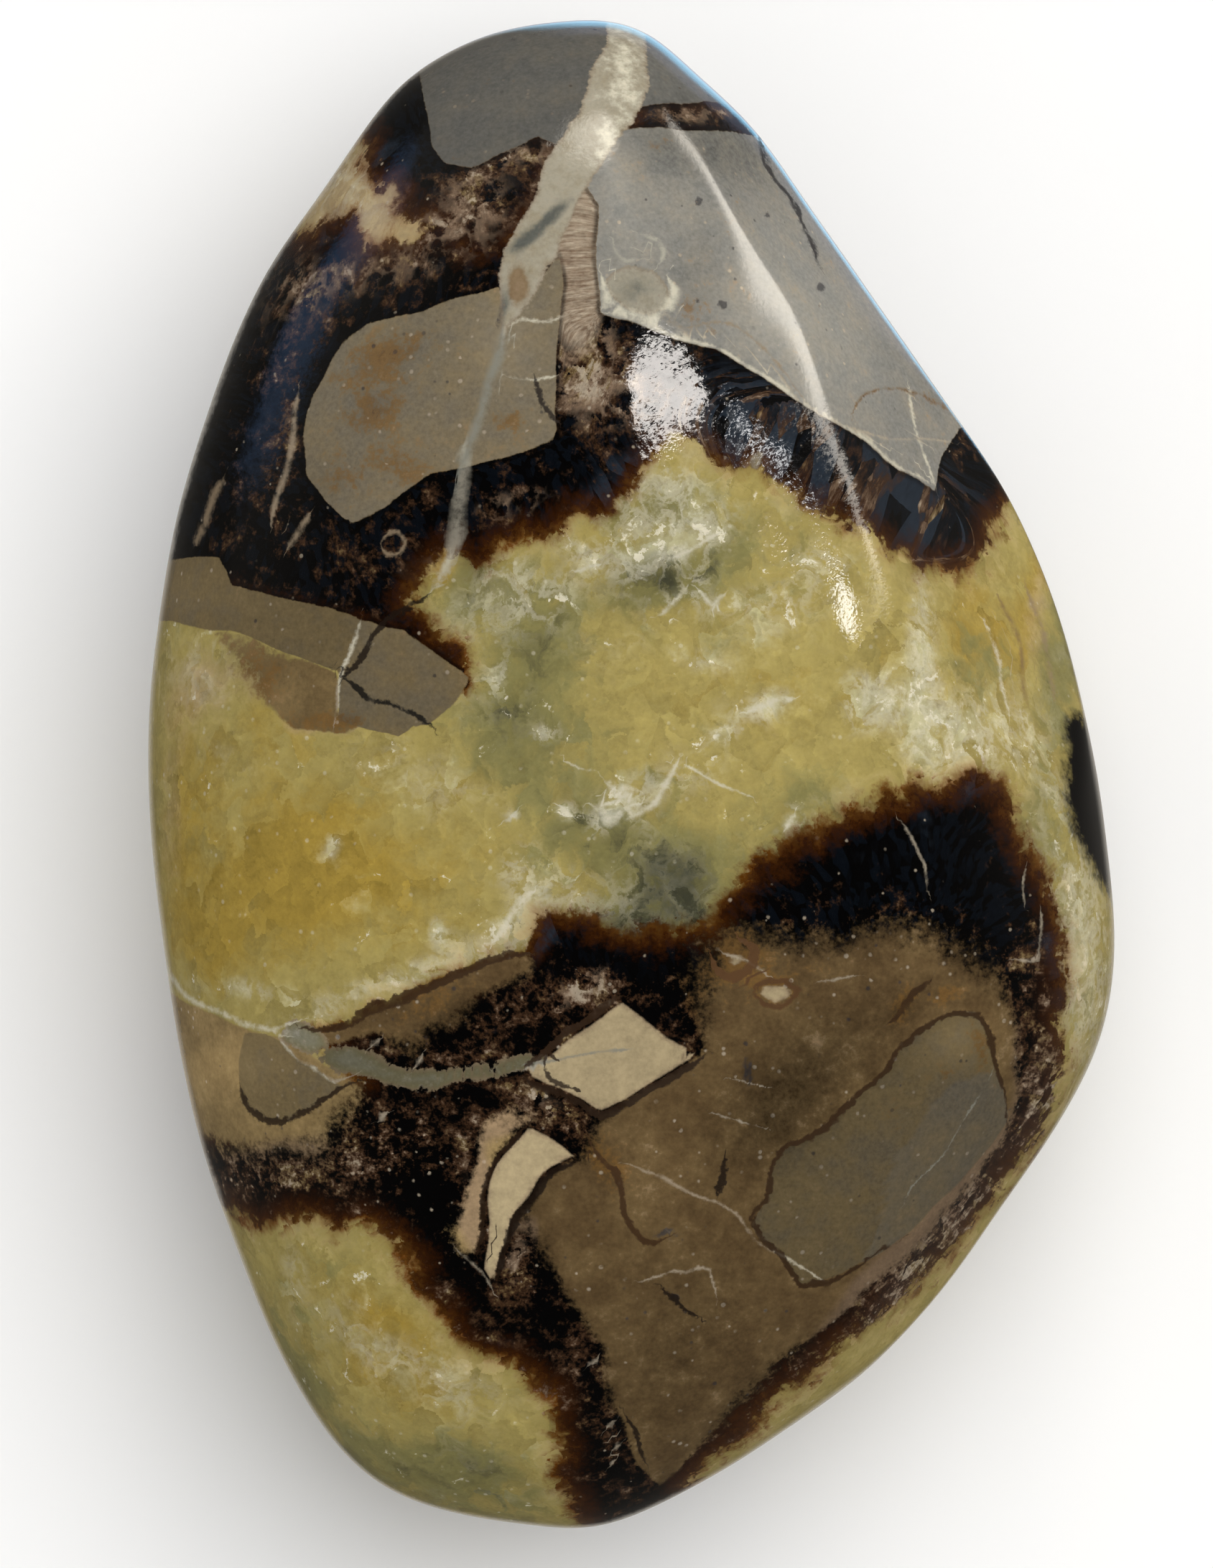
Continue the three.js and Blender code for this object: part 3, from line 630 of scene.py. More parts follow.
def stone_net(sizes):
    """Corners, in millimetres, and four-sided faces of the whole stone.

    Two disc nets share their rim at the girdle. A ring at share s of a disc is laid a quarter turn
    times s from the pole of an ellipsoid, each corner is pushed out to the stone's surface, and
    what would reach below the ground is flattened onto it.
    """
    reach, angle = disc_net(sizes.net_rows)
    tilt = reach * FULL_TURN / 4
    flat = np.sin(tilt)[..., None]
    side = flat * np.stack([np.cos(angle), np.sin(angle)], axis=-1) * HALF_SIZES[:2]
    rise = np.cos(tilt)[..., None]
    upper = np.concatenate([side, rise * sizes.crown / MM], axis=-1)
    lower = np.concatenate([side, -rise * sizes.back / MM], axis=-1)

    rows = sizes.net_rows + 1
    front = np.arange(rows * rows).reshape(rows, rows)
    inner = (slice(1, -1), slice(1, -1))
    back = front.copy()
    back[inner] = rows * rows + np.arange((rows - 2) ** 2).reshape(rows - 2, rows - 2)
    points = np.concatenate([upper.reshape(-1, 3), lower[inner].reshape(-1, 3)])

    points /= share_to_surface(points, sizes)[:, None]
    outward = points / HALF_SIZES**2
    outward /= np.linalg.norm(outward, axis=1)[:, None]
    swell = crossing_waves(points, LONG_SWELL, seed=3) + 0.5 * crossing_waves(points, SHORT_SWELL, seed=4)
    points += outward * (swell * sizes.swell / MM)[:, None]
    points += [*POLE, girdle_height(sizes)]
    points[:, 2] = (points[:, 2] + np.hypot(points[:, 2], SETTLE)) / 2

    def quads(index):
        ring = [index[:-1, :-1], index[:-1, 1:], index[1:, 1:], index[1:, :-1]]
        return np.stack([corner.ravel() for corner in ring], axis=1)

    return points, np.concatenate([quads(front), quads(back)[:, ::-1]])


# ---- pattern helpers ----------------------------------------------------------------------


def nearest_on_line(points, start, end):
    """Nearest place on one straight piece, its distance, and its share along the piece."""
    along = np.subtract(end, start)
    share = np.clip((points - start) @ along / (along @ along), 0, 1)
    nearest = start + share[:, None] * along
    return nearest, np.hypot(*(points - nearest).T), share


def sides_of(outline):
    """The two ends of each side of a closed outline."""
    corners = np.array(outline, float)
    return zip(corners, np.roll(corners, -1, axis=0))


def outline_depth(points, outline):
    """How deep points lie inside a closed outline, negative outside.

    The depth is the distance to the nearest straight side. A point is inside where a level line
    to its right crosses the sides an odd number of times.
    """
    best = np.full(len(points), np.inf)
    inside = np.zeros(len(points), bool)
    x, y = points.T
    for start, end in sides_of(outline):
        _, distance, _ = nearest_on_line(points, start, end)
        best = np.minimum(best, distance)
        if start[1] != end[1]:
            crossing = start[0] + (y - start[1]) / (end[1] - start[1]) * (end[0] - start[0])
            inside ^= ((start[1] > y) != (end[1] > y)) & (x < crossing)
    return np.where(inside, best, -best)


def deepest_block(points, blocks):
    """Depth inside whichever block is nearest or deepest, with that block's tone and lightness."""
    found = np.full((len(points), 3), -np.inf)
    for tone, lightness, outline in blocks:
        depth = outline_depth(points, outline)
        looks = columns(depth, tone, lightness)
        found = np.where((depth > found[:, 0])[:, None], looks, found)
    return found


def lining_depth(points):
    """Depth inside the crystal lining, and a place on its edge for the crystals to point at.

    The place is the mean of the nearest places on all sides of the outlines, each weighed by the
    length of its side over the fourth power of its distance, so it slides along evenly.
    """
    blur = 0.2  # keeps the weight finite on the side itself
    deepest = np.full(len(points), -np.inf)
    total = np.zeros((len(points), 1))
    root = np.zeros_like(points)
    for outline in LINING:
        deepest = np.maximum(deepest, outline_depth(points, outline))
        for start, end in sides_of(outline):
            nearest, distance, _ = nearest_on_line(points, start, end)
            weight = np.hypot(*(end - start)) / (distance**2 + blur)[:, None] ** 2
            total += weight
            root += weight * nearest
    return deepest, root / total


def crack_marks(points, cracks):
    """Offset to one side of the nearest crack, its half-width there, and its tone.

    The half-width tapers to nothing at both ends, and drops below nothing away from the crack,
    so that the place where the nearest crack changes from one to another never shows.
    """
    near, far = 0.8, 1.5  # where the marks start to fade, and where they are gone
    tip, full = -0.02, 0.16  # shares of the crack's length between which it widens
    best = np.full(len(points), np.inf)
    marks = np.zeros((len(points), 3))
    for width, tone, corners in cracks:
        line = np.array(corners, float)
        lengths = np.hypot(*np.diff(line, axis=0).T)
        run = np.append(0, np.cumsum(lengths)) / lengths.sum()
        for i, (start, end) in enumerate(zip(line[:-1], line[1:])):
            nearest, distance, share = nearest_on_line(points, start, end)
            away = points - nearest
            side = np.sign(away[:, 0] * (end - start)[1] - away[:, 1] * (end - start)[0])
            along = blend(run[i], run[i + 1], share)
            taper = smooth(np.minimum(along, 1 - along), tip, full)
            closer = distance < best
            looks = columns(side * distance, width / 2 * taper, tone)
            marks = np.where(closer[:, None], looks, marks)
            best = np.where(closer, distance, best)
    marks[:, 1] -= 2 * smooth(best, near, far)
    return marks


def patches(points, ovals):
    """Adds up soft ovals: each is its strength times e to the minus squared distance.

    The distance is counted in half-widths along and across the oval.
    """
    total = np.zeros(len(points))
    for x, y, half_width, half_height, turn, strength in ovals:
        turn = np.radians(turn)
        dx, dy = (points - (x, y)).T
        u = (dx * np.cos(turn) + dy * np.sin(turn)) / half_width
        v = (dy * np.cos(turn) - dx * np.sin(turn)) / half_height
        total += strength * np.exp(-(u * u + v * v))
    return np.clip(total, -STRONGEST_PATCH, STRONGEST_PATCH)


def nearest_cell(points):
    """Which of the back's cells each point is in, how deep, and the nearest place on its edge.

    Each point belongs to the nearest cell's middle. The depth is its distance to the line half-way
    to the next cell.
    """
    middles = np.array([(x, y) for x, y, *_ in BACK_CELLS], float)
    gaps = np.hypot(*(points[:, None] - middles).transpose(2, 0, 1))
    mine = gaps.argmin(axis=1)
    depth = np.full(len(points), np.inf)
    edge = np.zeros_like(points)
    for other in range(len(middles)):
        away = middles[other] - middles[mine]
        span = np.maximum(np.hypot(*away.T), 1e-9)
        reach = (gaps[:, other] ** 2 - gaps[np.arange(len(points)), mine] ** 2) / (2 * span)
        reach = np.where(mine == other, np.inf, reach)
        closer = reach < depth
        depth = np.where(closer, reach, depth)
        place = points + np.where(closer, reach, 0)[:, None] * away / span[:, None]
        edge = np.where(closer[:, None], place, edge)
    return mine, depth, edge


def back_pattern(place):
    """What the back carries: its grey and brown blocks, its lining, a place on it, and its tints."""
    points = place[:, :2] + POLE
    points = points + BACK_WANDER * swells(points, 14.0, first_seed=21, count=2)
    mine, depth, edge = nearest_cell(points)
    gap = BACK_GAP * (1 + 0.7 * crossing_waves(points, 30.0, seed=23))
    depth = depth - np.maximum(gap, LEAST_BACK_GAP)
    is_grey, tone, lightness = np.array([looks for _, _, *looks in BACK_CELLS], float)[mine].T
    grey = columns(np.where(is_grey, depth, FAR_OUT), tone, lightness)
    brown = columns(np.where(is_grey, FAR_OUT, depth), tone, lightness)
    lining = depth + BACK_LINING * (1 + 0.5 * crossing_waves(points, 9.0, seed=24))
    root = (1 - BACK_FAN) * edge + BACK_FAN * points
    tint = (0.4 + 0.5 * swells(points, 17.0, first_seed=25, count=3)) * BACK_TINT
    return grey, brown, lining, root, tint


def plan_of(place):
    """Where each corner lies on the plan, and how far it has gone over to the back, from 0 to 1.

    Over the girdle a corner lies where the eye sees it. Under the girdle it lies as far past the
    girdle as it is inside it. Then all of them wander a little, so that no side is quite straight.
    """
    reach = np.hypot(place[:, 0], place[:, 1])
    angle = np.arctan2(place[:, 1], place[:, 0])
    girdle = radius_at(angle)
    under = place[:, 2] < 0
    laid = np.where(under, 2 * girdle - reach, reach)
    plan = POLE + laid[:, None] * columns(np.cos(angle), np.sin(angle))
    seen = plan * (1 + place[:, 2:] / EYE_HEIGHT)
    plan = np.where(under[:, None], plan, seen)
    gone_over = np.where(under, 1 - smooth(reach / girdle, BACK_ALONE, BACK_STARTS), 0)
    return plan + OUTLINE_WANDER * swells(plan, 5.0, first_seed=11, count=2), gone_over


def crystal_roots(plan, root, across_share, upright_share):
    """The place that each crystal grows from, given a place on the nearest wall.

    Most fan out a little from that wall. The level and the upright ones have walls of their own.
    """
    level = columns(LEVEL_WALL + 0.1 * plan[:, 0], plan[:, 1])
    upright = plan @ UPRIGHT_WALL + UPRIGHT_WALL_START
    root = (1 - FAN) * root + FAN * plan
    root = blend(root, level, across_share[:, None])
    return blend(root, upright, 0.9 * upright_share[:, None])


def lay_out_pattern(corners, sizes):
    """What each corner of the net carries for the material, as named rows of three numbers.

    The blocks carry depth, tone and lightness, the cracks offset, half-width and tone, and the
    root is a place on the plan with the depth inside the lining.
    """
    place = corners - [*POLE, girdle_height(sizes)]
    plan, gone_over = plan_of(place)
    over = gone_over[:, None]
    back_grey, back_brown, back_lining, back_root, back_tint = back_pattern(place)

    outside = [FAR_OUT, 0, 0]
    grey = np.maximum(deepest_block(plan, GREY_BLOCKS), outside)
    brown = np.maximum(deepest_block(plan, BROWN_BLOCKS), outside)
    cream = deepest_block(plan, CREAM_BLOCKS)
    cream[:, 0] = blend(cream[:, 0], FAR_OUT, gone_over)
    spot = outline_depth(plan, BLACK_SPOT)
    spot = np.maximum(blend(spot, FAR_OUT, gone_over), FAR_OUT)
    across_share = np.clip(2 * patches(plan, ACROSS), 0, 1)
    upright_share = np.clip(1.5 * patches(plan, UPRIGHT), 0, 1)
    standing = (upright_share - across_share) * (1 - gone_over)
    lining, root = lining_depth(plan)
    lining = blend(lining, back_lining, gone_over)
    root = blend(crystal_roots(plan, root, across_share, upright_share), back_root, over)
    tint = columns(*[patches(plan, patch) for patch in (HONEY, CLOUD, SMOKE_AND_PAINTED_DARK_RIM)])
    return {
        "bent": (corners + CLUMP_WANDER * swells(corners, 2.6, first_seed=31, count=3)) * MM,
        "grey": blend(grey, back_grey, over),
        "brown": blend(brown, back_brown, over),
        "cream": cream,
        "extra": columns(standing, spot, patches(plan, PAINTED_SHADE_AND_ROCK_TONE)),
        "root": columns(root[:, 0], root[:, 1], lining),
        "dark_crack": crack_marks(plan, DARK_CRACKS),
        "pale_crack": crack_marks(plan, PALE_CRACKS),
        "tint": blend(tint, back_tint, over),
        "look": columns(*[patches(plan, patch) for patch in (RUST, PALE_LINING, FRAY)]),
    }


# ---- shading helpers ----------------------------------------------------------------------


class Value:
    """A node's output that can be used in ordinary sums."""

    def __init__(self, graph, socket):
        self.graph = graph
        self.socket = socket

    def math(self, operation, *values):
        """One Math node on these values."""
        return self.graph.node("ShaderNodeMath", {"operation": operation}, dict(enumerate(values)))

    def __add__(self, other):
        return self.math("ADD", self, other)

    __radd__ = __add__

    def __sub__(self, other):
        return self.math("SUBTRACT", self, other)

    def __rsub__(self, other):
        return self.math("SUBTRACT", other, self)

    def __mul__(self, other):
        return self.math("MULTIPLY", self, other)

    __rmul__ = __mul__

    def __abs__(self):
        return self.math("ABSOLUTE", self)

    def above(self, other):
        """The greater of the two."""
        return self.math("MAXIMUM", self, other)


class Graph:
    """A node tree, made by one method."""

    def __init__(self, tree, place="Object"):
        self.tree = tree
        self.tree.nodes.clear()
        self.place = self.node("ShaderNodeTexCoord", output=place)

    def node(self, kind, settings=None, inputs=None, output=0):
        """Makes a node, sets it up, feeds its sockets, and gives back one of its outputs."""
        made = self.tree.nodes.new(kind)
        for name, value in (settings or {}).items():
            setattr(made, name, value)
        for key, value in (inputs or {}).items():
            if isinstance(value, Value):
                self.tree.links.new(value.socket, made.inputs[key])
            elif made.inputs[key].type == "RGBA":
                made.inputs[key].default_value = (*value, 1)
            else:
                made.inputs[key].default_value = value
        return Value(self, made.outputs[output]) if made.outputs else None

    def vectors(self, operation, first, second, output=0):
        """One Vector Math node on two vectors."""
        return self.node("ShaderNodeVectorMath", {"operation": operation}, {0: first, 1: second}, output)

    def parts(self, vector):
        """The three numbers of a vector."""
        split = self.node("ShaderNodeSeparateXYZ", None, {0: vector}).socket.node
        return [Value(self, socket) for socket in split.outputs]

    def carried_vector(self, name):
        """What the net carries under a name."""
        return self.node("ShaderNodeAttribute", {"attribute_name": name}, output="Vector")

    def carried(self, name):
        """The three numbers that the net carries under a name."""
        return self.parts(self.carried_vector(name))

    def noise(self, size, detail=3.0, roughness=0.55, at=None):
        """Cloudy noise with features of this size, from about -0.5 to 0.5."""
        sockets = {"Vector": at or self.place, "Scale": 1 / size, "Detail": detail, "Roughness": roughness}
        return self.node("ShaderNodeTexNoise", None, sockets) - 0.5

    def cells(self, size, at=None):
        """Random cells of this size: distance to a cell's middle, its random colour, its middle."""
        sockets = {"Vector": at or self.place, "Scale": 1 / size}
        made = self.node("ShaderNodeTexVoronoi", None, sockets).socket.node
        return [Value(self, made.outputs[name]) for name in ("Distance", "Color", "Position")]

    def step(self, value, low, high):
        """Eases from 0 at low to 1 at high."""
        sockets = {"Value": value, "From Min": low, "From Max": high}
        return self.node("ShaderNodeMapRange", {"interpolation_type": "SMOOTHSTEP"}, sockets)

    def mix(self, share, start, end):
        """Mixes two colours. A Mix node's sockets 6 and 7 take colours, and so does its output 2."""
        settings = {"data_type": "RGBA", "clamp_factor": True}
        return self.node("ShaderNodeMix", settings, {0: share, 6: start, 7: end}, 2)

    def shade(self, colour, brightness):
        """A colour made lighter or darker."""
        return self.node("ShaderNodeVectorMath", {"operation": "SCALE"}, {0: colour, "Scale": brightness})


# ---- the stone's material -----------------------------------------------------------------
# Here g is the graph, c the colours and t the noises that all the finishes share.


Texture = namedtuple("Texture", "fine grit mottle near pick second third")
Clumps = namedtuple("Clumps", "near tone slope")

HALF = (0.5, 0.5, 0.5)  # the middle of a random colour
WHITE = (1, 1, 1)
AMBER_LIGHT = (0.3, 0.11, 0.02)  # what calcite lets through where it is stained by the crystals


def stone_texture(g):
    """The noises that all the finishes share, and small grains with three random numbers each."""
    fine = g.noise(1.1 * MM, 4, 0.65)
    grit = g.noise(0.3 * MM, 2, 0.6)
    mottle = g.noise(3.4 * MM, 3, 0.6)
    near, tone, _ = g.cells(0.42 * MM)
    return Texture(fine, grit, mottle, near, *g.parts(tone))


def clumps(g, size, at):
    """Crystal-like cells of this size: distance to the middle, random tones and a slope."""
    near, tone, middle = g.cells(size, at)
    way = g.vectors("SUBTRACT", tone, HALF)
    offset = g.vectors("SUBTRACT", at, middle)
    slope = g.vectors("DOT_PRODUCT", way, offset, "Value") * (1.4 / size)
    return Clumps(near, g.parts(tone), slope)


def calcite_colour(g, c, t, tint, reach, look, large, small, bent):
    """Clear honey to milky calcite, in crystals that each have a tone of their own and painted light and
    shade sloping across them, as if each were tilted.

    Frost is white on broken cleavage planes. Near the lining the calcite turns milky, then amber.
    """
    honey, cloud, smoke = tint
    rust, pale, _ = look
    warm, dark, milky = large.tone
    cloudy = g.noise(2.4 * MM, 4, 0.62, bent)

    # Honey, then olive and almost black where it is clear and deep.
    warmth = honey + (warm - 0.5) * 0.35 + (small.tone[0] - 0.5) * 0.12 + cloudy
    colour = g.mix(g.step(warmth, 0.1, 0.95), c.calcite, c.honey)
    shadow = smoke + (dark - 0.5) * 0.3 + (small.tone[1] - 0.5) * 0.12 + cloudy * 1.3 + t.fine * 0.5
    shadow = shadow + large.slope * 0.35 - honey * 0.25 + 0.06
    colour = g.mix(g.step(shadow, 0.1, 0.75) * 0.85, colour, c.olive)
    colour = g.mix(g.step(shadow, 0.7, 1.5) * 0.9, colour, c.smoke)

    # Milk, which is blue-grey in the shadows, and iron stains.
    milk = cloud * 0.85 + (milky - 0.5) * 0.35 + (small.tone[2] - 0.5) * 0.15 + t.fine * 0.9
    milk = milk + large.slope * 0.35 - honey * 0.2
    haze = g.mix(g.step(shadow, 0.5, 1.1) * 0.7, c.cloud, c.vein_blue)
    colour = g.mix(g.step(milk, 0.2, 1.1) * 0.85, colour, haze)
    colour = g.mix(g.step(rust + t.fine * 0.6 + cloudy * 0.5, 0.25, 0.9) * 0.8, colour, c.tan_calcite)

    # Veils along healed cracks, frost on cleavage planes, dust, and a milky halo at the lining.
    veil = g.step(abs(cloudy + t.fine * 0.12 + large.slope * 0.12), 0.1, 0.0)
    veil = veil * g.step(cloud + smoke * 0.2 - honey * 0.4 + t.mottle, 0.05, 0.8)
    colour = g.mix(veil * 0.42, colour, c.white)
    frost = small.slope * 0.9 + (small.tone[2] - 0.5) * 0.5 + cloud * 0.5 + t.fine * 0.9 + t.grit * 0.8
    colour = g.mix(g.step(frost - honey * 0.2, 0.66, 0.9) * 0.85, colour, c.white)
    dust = g.step(t.near, 0.5, 0.2) * g.step(t.pick + t.fine * 0.2, 0.95, 1.0)
    colour = g.mix(dust * 0.35, colour, c.white)
    halo = g.step(reach, -2.2, -0.3) * g.step(t.fine + large.slope, -0.3, 0.3)
    colour = g.mix(halo * (cloud * 0.3 + 0.5 - smoke * 0.5), colour, c.halo)

    # Each crystal's own tone, with painted light and shade sloping across it as if it were tilted, and the
    # amber edge.
    crystal_tone_and_painted_shade = large.slope * 0.25 + small.slope * 0.15 + (dark - 0.5) * 0.1 + t.fine * 0.55 + t.grit * 0.3
    stain = g.step(reach + t.grit * 0.8, -0.95, 0.15) * (1 - pale * 0.7) * g.step(t.mottle, -0.25, 0.1)
    stain = g.mix(stain * (1 - cloud * 0.5), WHITE, AMBER_LIGHT)
    return g.vectors("MULTIPLY", g.shade(colour, 1 + crystal_tone_and_painted_shade), stain)


def lining_colour(g, c, t, along, hair, inside, look, tint, standing, small):
    """Dark crystals that stand side by side on the walls of the cracks.

    Each is a cell of a net stretched along its length, with finer streaks in it, and its own share
    of black, brown and tan. They are amber where they meet the calcite, then red-brown, then black.
    Where the lining frays they give way to grains and to round clumps with pale edges.
    """
    crystal_width, cluster_width = 0.5, 1.2
    near, crystal, _ = g.cells(crystal_width, along)
    pick, second, third = g.parts(crystal)
    _, cluster, _ = g.cells(cluster_width, along)
    group, hue, _ = g.parts(cluster)
    _, pale, fray = look
    _, cloud, smoke = tint
    _, y, _ = g.parts(g.place)
    lower = g.step(y, -9 * MM, -16 * MM)  # 1 in the lower part of the stone, which is plainer

    # How light it is: streaks in upright crystals, grains elsewhere.
    streaks = pick * 0.4 + (group - 0.5) * 1.5 + hair - 0.15
    grains = t.grit * (0.5 + fray * 0.9) + t.fine * 2.0 + t.mottle * 1.1 + hair * 0.5 + 0.3
    grains = grains + (small.tone[1] - 0.5) * g.step(pale, 0.3, 0.8) * 0.9
    prisms = g.step(standing, 0.4, 0.9)
    fibres = g.step(standing, -0.4, -0.9)
    value = grains + prisms * (streaks - grains)
    palest = g.step(pale, 0.9, 1.2) * 0.4 * (1 - prisms)
    value = value + t.fine * 0.5 + pale * 0.6 + palest + lower * 0.16 - smoke * 0.7

    # Black, and blue-black and steel-blue, which are partly the crystals' own tint and partly painted sky
    # sheen, kept out of the lower part. Then brown, with red-brown and amber at the calcite.
    colour = g.mix(g.step(second, 0.4, 0.7) * (1 - lower), c.lining, c.blue_black_and_sky_sheen)
    steel_sheen_share = prisms.above(g.step(cloud + t.mottle, 0.1, 0.4))
    colour = g.mix(steel_sheen_share * g.step(hue, 0.6, 0.3), colour, c.steel_sheen)
    colour = g.mix(g.step(value, 0.38, 0.9), colour, c.lining_brown)
    depth = inside + t.fine * 2.4 + t.mottle * 2.4 + hair * 0.5 + t.grit * 1.6
    rim = 1 - pale * 0.6
    colour = g.mix(g.step(depth, 2.2, 0.5) * rim * 0.85, colour, c.red_brown)
    colour = g.mix(g.step(depth, 1.0, -0.3) * rim * 0.85, colour, c.amber)

    # Tan and pale grains, edges of clumps, fibres across a narrow crack, and loose crumbs.
    tan = g.mix(g.step(hue, 0.5, 0.8), c.lining_pale, c.tan)
    colour = g.mix(g.step(value + third * 0.2, 0.85, 1.4) * 0.85, colour, tan)
    colour = g.mix(g.step(value + third * 0.4, 1.3, 1.7) * 0.8, colour, c.crumbs)
    edges = g.step(small.near + t.fine * 0.8 + t.grit * 0.4, 0.4, 0.8)
    edges = edges * g.step(pale + fray * 0.2 - lower * 0.4, 0.3, 0.9)
    colour = g.mix(edges * (1 - prisms) * 0.75, colour, c.lining_pale)
    colour = g.mix(fibres * 0.95, colour, g.mix(0.42 + hair * 2.6, c.lining_pale, c.crumbs))
    loose = g.step(t.near + t.pick * 0.2 + t.grit * 0.4, 0.45, 0.2)
    loose = loose * g.step(t.third + fray * 0.05, 0.98, 1.0)
    colour = g.mix(loose * 0.7, colour, c.crumbs)
    # Painted shade: each crystal is darker away from its middle, as if rounded. Streaks and grit vary its
    # tone.
    return g.shade(colour, (1.15 - near * 0.3) * (1 + hair * 0.7 + t.grit * 0.6)), cluster


def rock_colour(g, c, t, grey, brown, grey_mask, look, smoke, painted_shade_and_tone):
    """Fine mudstone: grey in the blocks, brown round them, with iron stains, pits and dust."""
    rust, pale, fray = look
    brown_rock = g.mix(brown[1] + t.mottle * 0.8 + t.fine * 0.5, c.brown, c.tan)
    grey_rock = g.mix(grey[1] + t.mottle * 0.7 + t.fine * 0.4, c.grey, c.warm_grey)
    colour = g.mix(grey_mask, brown_rock, grey_rock)
    stain = rust + t.mottle * 1.2 + t.fine * 2.2 + t.grit * 1.2
    colour = g.mix(g.step(stain, 0.35, 0.95) * 0.7, colour, c.rust)
    colour = g.mix(g.step(stain, 1.1, 1.5) * 0.5, colour, c.lining_brown)
    colour = g.mix(g.step(smoke + t.fine * 0.9 + t.grit * 0.5, 0.55, 0.85) * 0.8, colour, c.pit)
    dust = g.step(t.near + t.third * 0.22, 0.55, 0.25)
    colour = g.mix(dust * g.step(t.pick + t.fine * 0.1, 0.95, 0.99) * 0.8, colour, c.crumbs)
    colour = g.mix(dust * g.step(t.second, 0.98, 0.99) * 0.7, colour, c.pit)
    smear = g.step(t.fine + t.mottle * 0.6 + t.grit * 0.4, 0.12, 0.4)
    colour = g.mix(smear * 0.22, colour, c.crumbs)
    blush = g.step(brown[0] + t.fine, 2.0, 0.9) * g.step(pale, 0.1, 0.3) * (1 - grey_mask)
    colour = g.mix(blush * 0.6, colour, c.lining_pale)
    light = brown[2] + grey_mask * (grey[2] - brown[2])
    worn_edge = fray * g.step(brown[0], 3.0, -0.5) * (1 - grey_mask)
    uneven = t.mottle * 0.7 + t.fine * 0.5 + t.grit * 0.6 + (t.third - 0.5) * 0.08
    # The lightness also takes the oval patches of rock tone, painted shade and painted light, and the
    # darker ragged edges.
    return g.shade(colour, light * (1 + uneven - painted_shade_and_tone * 0.5 - worn_edge * 0.6))


def cream_colour(g, c, t, cream, tint):
    """The vein and its fragments: cream, grey or grey-green, with ochre and grey-green patches."""
    honey, cloud, smoke = tint
    slate = [0.55 * part for part in c.vein_blue]
    wear = t.fine * 1.2 + t.mottle * 0.6
    colour = g.mix(g.step(cream[1] + wear * 0.3, 0.1, 0.5), c.cream, c.vein_grey)
    green = cream[1] + smoke * 0.6 + wear * (0.2 + cream[1])
    colour = g.mix(g.step(green, 0.5, 1.0), colour, g.mix(g.step(cream[1], 0.6, 0.9), slate, c.vein_green))
    colour = g.mix(g.step(honey + wear, 0.35, 0.9) * 0.7, colour, c.rust)
    worn = g.step(wear + t.grit * 0.7, 0.1, 0.55) * g.step(cream[1], -0.2, 0.5)
    colour = g.mix(worn * 0.7, colour, c.lining_pale)
    colour = g.mix(g.step(cloud + wear * 1.4, 0.35, 1.0) * 0.8, colour, c.white)
    core = g.step(cream[0] + wear, 0.2, 0.9) * g.step(cream[1], 0.7, 0.9)
    colour = g.mix(core * 0.35, colour, c.vein_blue)
    edge = g.step(cream[0] + t.fine * 0.6 + t.grit * 0.3, 0.35, 0.0)
    colour = g.mix(edge * 0.5, colour, c.lining_pale)
    return g.shade(colour, cream[2] * (1 + t.fine * 0.7 + t.grit * 0.4 + t.mottle * 0.3))


def pale_cracks(g, c, t, colour, in_dark, grey_mask):
    """Thin pale veins over a colour: white in the grey rock and the calcite, cream in the rest.

    Tone takes them from blue-grey to that, and from that to rusty.
    """
    side, half, tone = g.carried("pale_crack")
    soft = half.above(0) * 0.6 + 0.07
    mask = g.step(half * 0.8 + t.fine * 0.3 - abs(side + t.grit * 0.3), soft * -1, soft)
    mask = mask * g.step(t.fine + t.mottle * 0.5, -0.3, 0.1)
    light = g.mix(in_dark * (1 - grey_mask), c.white, c.crumbs)
    return g.mix(mask * 0.8, colour, g.mix(tone - 1, g.mix(tone, c.vein_blue, light), c.rust))


def dark_cracks(g, c, t, colour):
    """Dark, broken cracks over a colour, and where they are."""
    side, half, tone = g.carried("dark_crack")
    mask = g.step(half + t.fine * 0.4 - abs(side + t.grit * 0.4 + t.fine * 0.7), -0.1, 0.05)
    mask = mask * g.step(t.fine + t.mottle * 0.5, -0.45, -0.05)
    return g.mix(mask * 0.9, colour, g.mix(tone, c.lining, c.amber)), mask


def polish(g, t, colour, roughness, crystals, facing, ragged, solid_mask):
    """The polished surface: clear calcite with light under it, and solid rock and crystals.

    Each dark crystal is tilted a little, so that they mirror the windows one by one.
    """
    bump = g.node("ShaderNodeBump", None, {"Strength": 0.06, "Distance": 0.1 * MM, "Height": t.grit})
    tilt = g.shade(g.vectors("SUBTRACT", facing, HALF), crystals * 0.02)
    tilt = g.vectors("ADD", tilt, g.shade(ragged, crystals * 0.1))
    normal = g.vectors("NORMALIZE", g.vectors("ADD", bump, tilt), (0, 0, 0))
    shared = {"Base Color": colour, "Roughness": roughness, "Normal": normal, "IOR": 1.5}
    depth = {"Subsurface Weight": 0.3, "Subsurface Scale": 1.4 * MM, "Subsurface Radius": (1.0, 0.8, 0.35)}
    clear = g.node("ShaderNodeBsdfPrincipled", {"subsurface_method": "RANDOM_WALK"}, shared | depth)
    solid = g.node("ShaderNodeBsdfPrincipled", None, shared)
    return g.node("ShaderNodeMixShader", None, {0: solid_mask, 1: clear, 2: solid})


def new_material(name):
    """An empty material, and the graph that its nodes go into."""
    material = bpy.data.materials.new(name)
    material.use_nodes = True
    return material, Graph(material.node_tree)


